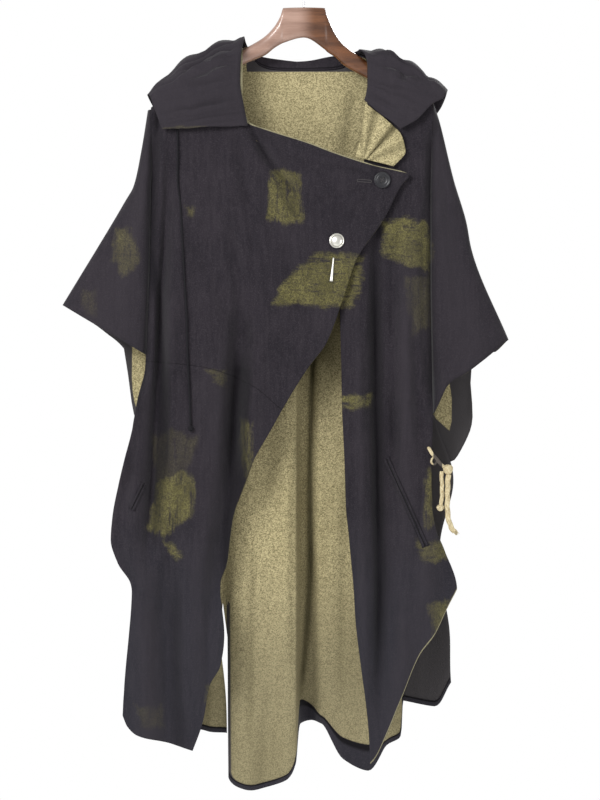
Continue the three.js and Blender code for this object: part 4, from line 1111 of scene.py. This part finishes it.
stand = sheet("collar_band", [8.4 + 7.25 * t for t in share(60)], share(6), stand_place,
              all_black, thick=0.0018, facts=lambda u, v, x, y, z: {"stitch": abs(v - 0.85) * 20})
belong(collar, "black_wool", "collar")
belong(stand, "black_wool", "collar_stand")
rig.sheet(collar, flat=(0.84, 0.20), held="draped", rests_on=[right_front, left_front, back], area=0.11)
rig.sheet(stand, flat=(0.19, 0.024), held="stretched", area=0.0035)


# Left front's neck corner: it is turned back so that its olive inner face shows, and it lies on the
# front in a fan of soft pleats that spread from the point under the collar's edge.
FAN_POINT = 98, 350
FAN_LINES = Table("at ix id ox od", [
    (0, 103, 246, 103.5, 249), (0.3, 99, 280, 138, 276), (0.6, 94, 308, 163, 302),
    (0.85, 88, 330, 170, 330), (1, 86, 338, 150, 354),
])
PLEATS = Table("turn wide deep", [(-2, 4, 3), (14, 5, 4), (41, 4, 7), (66, 6, 3.5)])


def pleats(x, drop):
    turn = math.degrees(math.atan2(x - FAN_POINT[0], FAN_POINT[1] - drop))
    return sum(p["deep"] * bell((turn - p["turn"]) / p["wide"]) for p in PLEATS.rows)


def fan_place(u, v):
    row = FAN_LINES.row(v)
    x, drop = lerp(row["ix"], row["ox"], u), lerp(row["id"], row["od"], u)
    far = ease(math.hypot(x - FAN_POINT[0], FAN_POINT[1] - drop) / 40)
    return x, left_surface(x, drop) - 9.5 + pleats(x, drop) * (0.4 + 0.6 * far), -drop


# Painted shade in the valleys of the pleats.
fan = sheet("neck_corner_pleats", share(40), share(40), fan_place, (olive_wool, olive_wool, raw),
            thick=0.0014, facts=lambda u, v, x, y, z: {"hollow": clamp(pleats(x, -z) / 6)})
belong(fan, "double_wool", "left_neck_facing")
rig.sheet(fan, flat=(0.09, 0.145), held="folded", rests_on=[left_front], area=0.0065)


# Hem bindings: black cloth tape, sewn flat inside the back's hem on both sides of the slit. It is
# narrow along most of the hem, and deep where a black flap shows under the fold and the tail.
def bind_place(u, v):
    low, wide = BACK_LINES.at("drop", u), BACK_LINES.at("bind", u)
    p = back_place(u, 1 - ((1 - v) * wide + 0.3) / (low - back_top(u)))
    return p[0], p[1] - 1.9 - 0.5 * math.sin(math.pi * v), p[2]


tapes = []
for name, first, last in (("hem_binding_right", 0, SLIT[0]), ("hem_binding_left", SLIT[1], LAST)):
    binding = sheet(name + "_tape", [u for u in back_us if first <= u <= last], share(8), bind_place,
                    all_black, thick=0.001, facts=lambda u, v, x, y, z: {"stitch": abs(v - 0.12) * 9})
    belong(binding, "black_wool", name)
    tapes.append(binding)
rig.sheet(back, flat=(0.90, 1.27), held="hung", area=0.61, with_pieces=tapes)


# Pocket welts: on each skirt a slanting pocket slit between two narrow folded lips of black cloth,
# topstitched round, with a bar tack across both of its ends.
def welt(name, surface, a, b, wide):
    run = Vector((b[0] - a[0], b[1] - a[1])).normalized()

    def place(u, v):
        s = v - 0.5
        x = lerp(a[0], b[0], u) - run.y * wide * s
        drop = lerp(a[1], b[1], u) + run.x * wide * s
        lips = 1.3 * abs(math.sin(2 * math.pi * s)) ** 0.7 - 0.9 * bell(s / 0.06)
        ends = ease(u / 0.03) * ease((1 - u) / 0.03)
        return x, surface(x, drop) - 1.5 - lips * ends, -drop

    def facts(u, v, x, y, z):
        return {"stitch": min(abs(v - 0.5) * 10, abs(v - 0.06) * 12 + 0.8, abs(v - 0.94) * 12 + 0.8)}

    piece = sheet(name + "_lips", share(60), share(20), place, all_black, thick=0.001, facts=facts)
    belong(piece, "black_wool", name)
    parts = [piece]
    for end, (x, drop) in (("top", a), ("low", b)):
        bar = bmesh.new()
        bmesh.ops.create_cube(bar, size=1)
        for v in bar.verts:
            across, along = v.co.x * (wide + 2), v.co.y * 2.4
            px = x - run.y * across + run.x * along
            pd = drop + run.x * across + run.y * along
            v.co = Vector((px, surface(px, pd) - 2.0 - v.co.z * 1.6, -pd)) / 1000
        tack = keep(name + "_tack_" + end, bar, dark_edge)
        belong(tack, "black_wool")
        parts.append(tack)
    return parts


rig.sheet(left_front, flat=(0.33, 1.17), held="hung", area=0.165,
         with_pieces=welt("pocket_welt_left", left_surface, (138, 843), (203, 989), 11))
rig.sheet(right_front, flat=(0.45, 1.12), held="hung", area=0.30,
         with_pieces=welt("pocket_welt_right", right_surface, (-267, 884), (-287, 927), 10))


# Hanger: two contoured arms of reddish-brown wood, lacquered, with a painted highlight that pales the left
# half, thin at the neck and rounded at the ends. A bent steel wire hook is set into the top of the neck.
ROUND = 28
wood = Finish("hanger_wood", (0.3, 0.13, 0.07), 0.34, Specular_IOR_Level=0.3, Coat_Roughness=0.12)
grain = wood.noise(26, 5, 0.65, stretch=(0.35, 1, 3.2))
warm = wood.mix(grain.span(0.3, 0.7), (0.040, 0.014, 0.005), (0.105, 0.040, 0.015))
# Painted highlight: a paler, pinker wood colour on the left half stands in for the light's reflection there.
painted_highlight_wood = wood.mix(grain.span(0.3, 0.7), (0.15, 0.085, 0.062), (0.24, 0.15, 0.115))
across = wood.along("X")
wood.feed("Base Color", wood.mix(across.span(-0.012, 0.02), painted_highlight_wood, warm))
wood.feed("Coat Weight", across.span(0.03, -0.02) * 0.4 + 0.12)
wood.bump(grain, 0.0004, 0.25)
mesh = bmesh.new()
rings = []
stations = sorted({row["x"] for row in HANGER.rows} | {-222 + 428 * t for t in share(120)})
for x in stations:
    top, under, half = HANGER.row(x).values()
    close = min(x - HANGER_ENDS[0], HANGER_ENDS[1] - x)
    end = 0.55 + 0.45 * math.sqrt(clamp(close / 9) * (2 - clamp(close / 9)))
    ring = []
    for k in range(ROUND):
        c, s = (math.copysign(abs(wave) ** 0.86, wave)
                for wave in (math.cos(2 * math.pi * k / ROUND), math.sin(2 * math.pi * k / ROUND)))
        ring.append(Vector((x, half * end * c, -(top + under) / 2 + (under - top) / 2 * end * s)) / 1000)
    rings.append(ring)
skin(mesh, rings)
hanger = keep("hanger_arms", mesh, wood)
steel = Finish("hook_steel", (0.42, 0.42, 0.43), 0.25, Metallic=1.0)
hook_points = [(0, 0, -84.6), (0, 0, -66), (1, 0, -50)] + [
    (20 * math.cos(math.radians(a)), 0, -18.3 + 20 * math.sin(math.radians(a)))
    for a in (-50, -25, 0, 30, 60, 90, 120, 150, 180, 205)]
hook = tube("hook_wire", steel, hook_points, 0.0017, sides=16)[0]
belong(hanger, "hanger_wood", "hanger_wood")
belong(hook, "hook_steel", "hanger_hook")


# Fastenings on the right front: a black four-hole button with a raised rim, sewn on with crossed
# thread beside its corded buttonhole, a plain domed metal button, and a small tapered metal bar.
BUTTON = 131, 377, 1.5, 0.2


def lie(mesh, x, drop, away, roll=0.0):
    """Turns a mesh built on +Z to lie on the right front at a place."""
    spot = Vector((x, right_surface(x, drop), -drop))
    dx = Vector((x + 6, right_surface(x + 6, drop), -drop)) - spot
    dz = Vector((x, right_surface(x, drop - 6), -drop + 6)) - spot
    normal = dx.cross(dz).normalized()
    up = dz.normalized()
    right = up.cross(normal).normalized()
    for v in mesh.verts:
        a, b = v.co.x, v.co.y
        px = a * math.cos(roll) - b * math.sin(roll)
        py = a * math.sin(roll) + b * math.cos(roll)
        v.co = (spot + right * px + up * py + normal * (v.co.z + away)) / 1000


def lathe(mesh, profile, sides=48):
    """Turns a profile of radius and height about the upright axis."""
    spots = [mesh.verts.new((r, 0, h)) for r, h in profile]
    edges = [mesh.edges.new(pair) for pair in zip(spots, spots[1:])]
    bmesh.ops.spin(mesh, geom=spots + edges, cent=(0, 0, 0), axis=(0, 0, 1), angle=2 * math.pi,
                   steps=sides, use_merge=True)
    bmesh.ops.remove_doubles(mesh, verts=mesh.verts, dist=0.001)


horn = Finish("black_horn", (0.006, 0.006, 0.008), 0.32, Specular_IOR_Level=0.35)
mesh = bmesh.new()
lathe(mesh, [(0, 0), (12.6, 0), (13.6, 0.6), (14, 1.8), (13.7, 3.2), (12.8, 3.9), (11.8, 3.8), (10.8, 2.8),
             (9.8, 2.3), (9.0, 2.9), (8.2, 2.9), (7.2, 2.4), (4, 2.4), (0, 2.4)])
lie(mesh, *BUTTON)
belong(keep("black_button_disc", mesh, horn), "black_horn", "black_button")
# Painted shade: flat near-black discs stand for the four holes' shadowed depth.
hole_shade = Finish("button_hole", (0.002, 0.002, 0.002), 0.9)
mesh = bmesh.new()
for x, y in ((3.1, 3.1), (-3.1, 3.1), (-3.1, -3.1), (3.1, -3.1)):
    made = set(mesh.verts)
    lathe(mesh, [(0, 2.42), (1.6, 2.42), (1.6, 2.5), (0, 2.5)], 16)
    bmesh.ops.translate(mesh, verts=[v for v in mesh.verts if v not in made], vec=(x, y, 0))
lie(mesh, *BUTTON)
belong(keep("black_button_holes", mesh, hole_shade), "black_horn")
thread = Finish("button_thread", (0.034, 0.031, 0.032), 0.85, Specular_IOR_Level=0.2)
mesh = bmesh.new()
for angle in (0, math.pi / 2):
    bmesh.ops.create_cube(mesh, size=1, matrix=Matrix.Rotation(angle + 0.785, 4, "Z")
                          @ Matrix.Diagonal((8.8, 1.1, 0.6, 1)))
for v in mesh.verts:
    v.co.z += 2.75
lie(mesh, *BUTTON)
belong(keep("black_button_thread", mesh, thread, smooth=False), "black_horn")
silver = Finish("silver_metal", (0.50, 0.49, 0.45), 0.3, Metallic=1.0)
mesh = bmesh.new()
lathe(mesh, [(0, 0), (10.5, 0), (12.5, 1.2), (12.5, 2.4), (12.0, 3.1), (11.4, 3.2), (10.9, 2.0),
             (10.2, 2.0), (9.6, 3.7), (8.5, 4.6), (5, 5.9), (2.5, 6.3), (0, 6.4)])
lie(mesh, 55, 479, 0.7)
belong(keep("metal_button_dome", mesh, silver), "silver_metal", "metal_button")
mesh = bmesh.new()
bmesh.ops.create_grid(mesh, x_segments=6, y_segments=20, size=0.5)
for v in mesh.verts:
    t = 0.5 - v.co.y
    v.co = Vector((v.co.x * lerp(3, 6, t ** 1.6), -40 * t, 1.6 - 5 * v.co.x ** 2))
shape = bmesh.ops.extrude_face_region(mesh, geom=mesh.faces[:])
for v in shape["geom"]:
    if isinstance(v, bmesh.types.BMVert):
        v.co.z = 0
lie(mesh, 49.4, 507, 1.2, -0.1)
belong(keep("metal_pin_bar", mesh, silver), "silver_metal", "metal_pin")
slot_points = []
for k in range(25):
    angle = 2 * math.pi * k / 24
    x = 101 + 10 * math.copysign(1, math.cos(angle)) + 1.9 * math.cos(angle)
    drop = 378.5 + 1.9 * math.sin(angle) + 0.08 * (x - 101)
    slot_points.append((x, right_surface(x, drop) - 1.2, -drop))
buttonhole = tube(
    "buttonhole", thread, slot_points, 0.0007, sides=10, step=0.0005, lobes=1, pitch=0.0016)[0]
belong(buttonhole, "black_wool")

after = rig.bounds()
json.dump([[list(corner) for corner in pair] for pair in (before, after)], open("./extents.json", "w"))
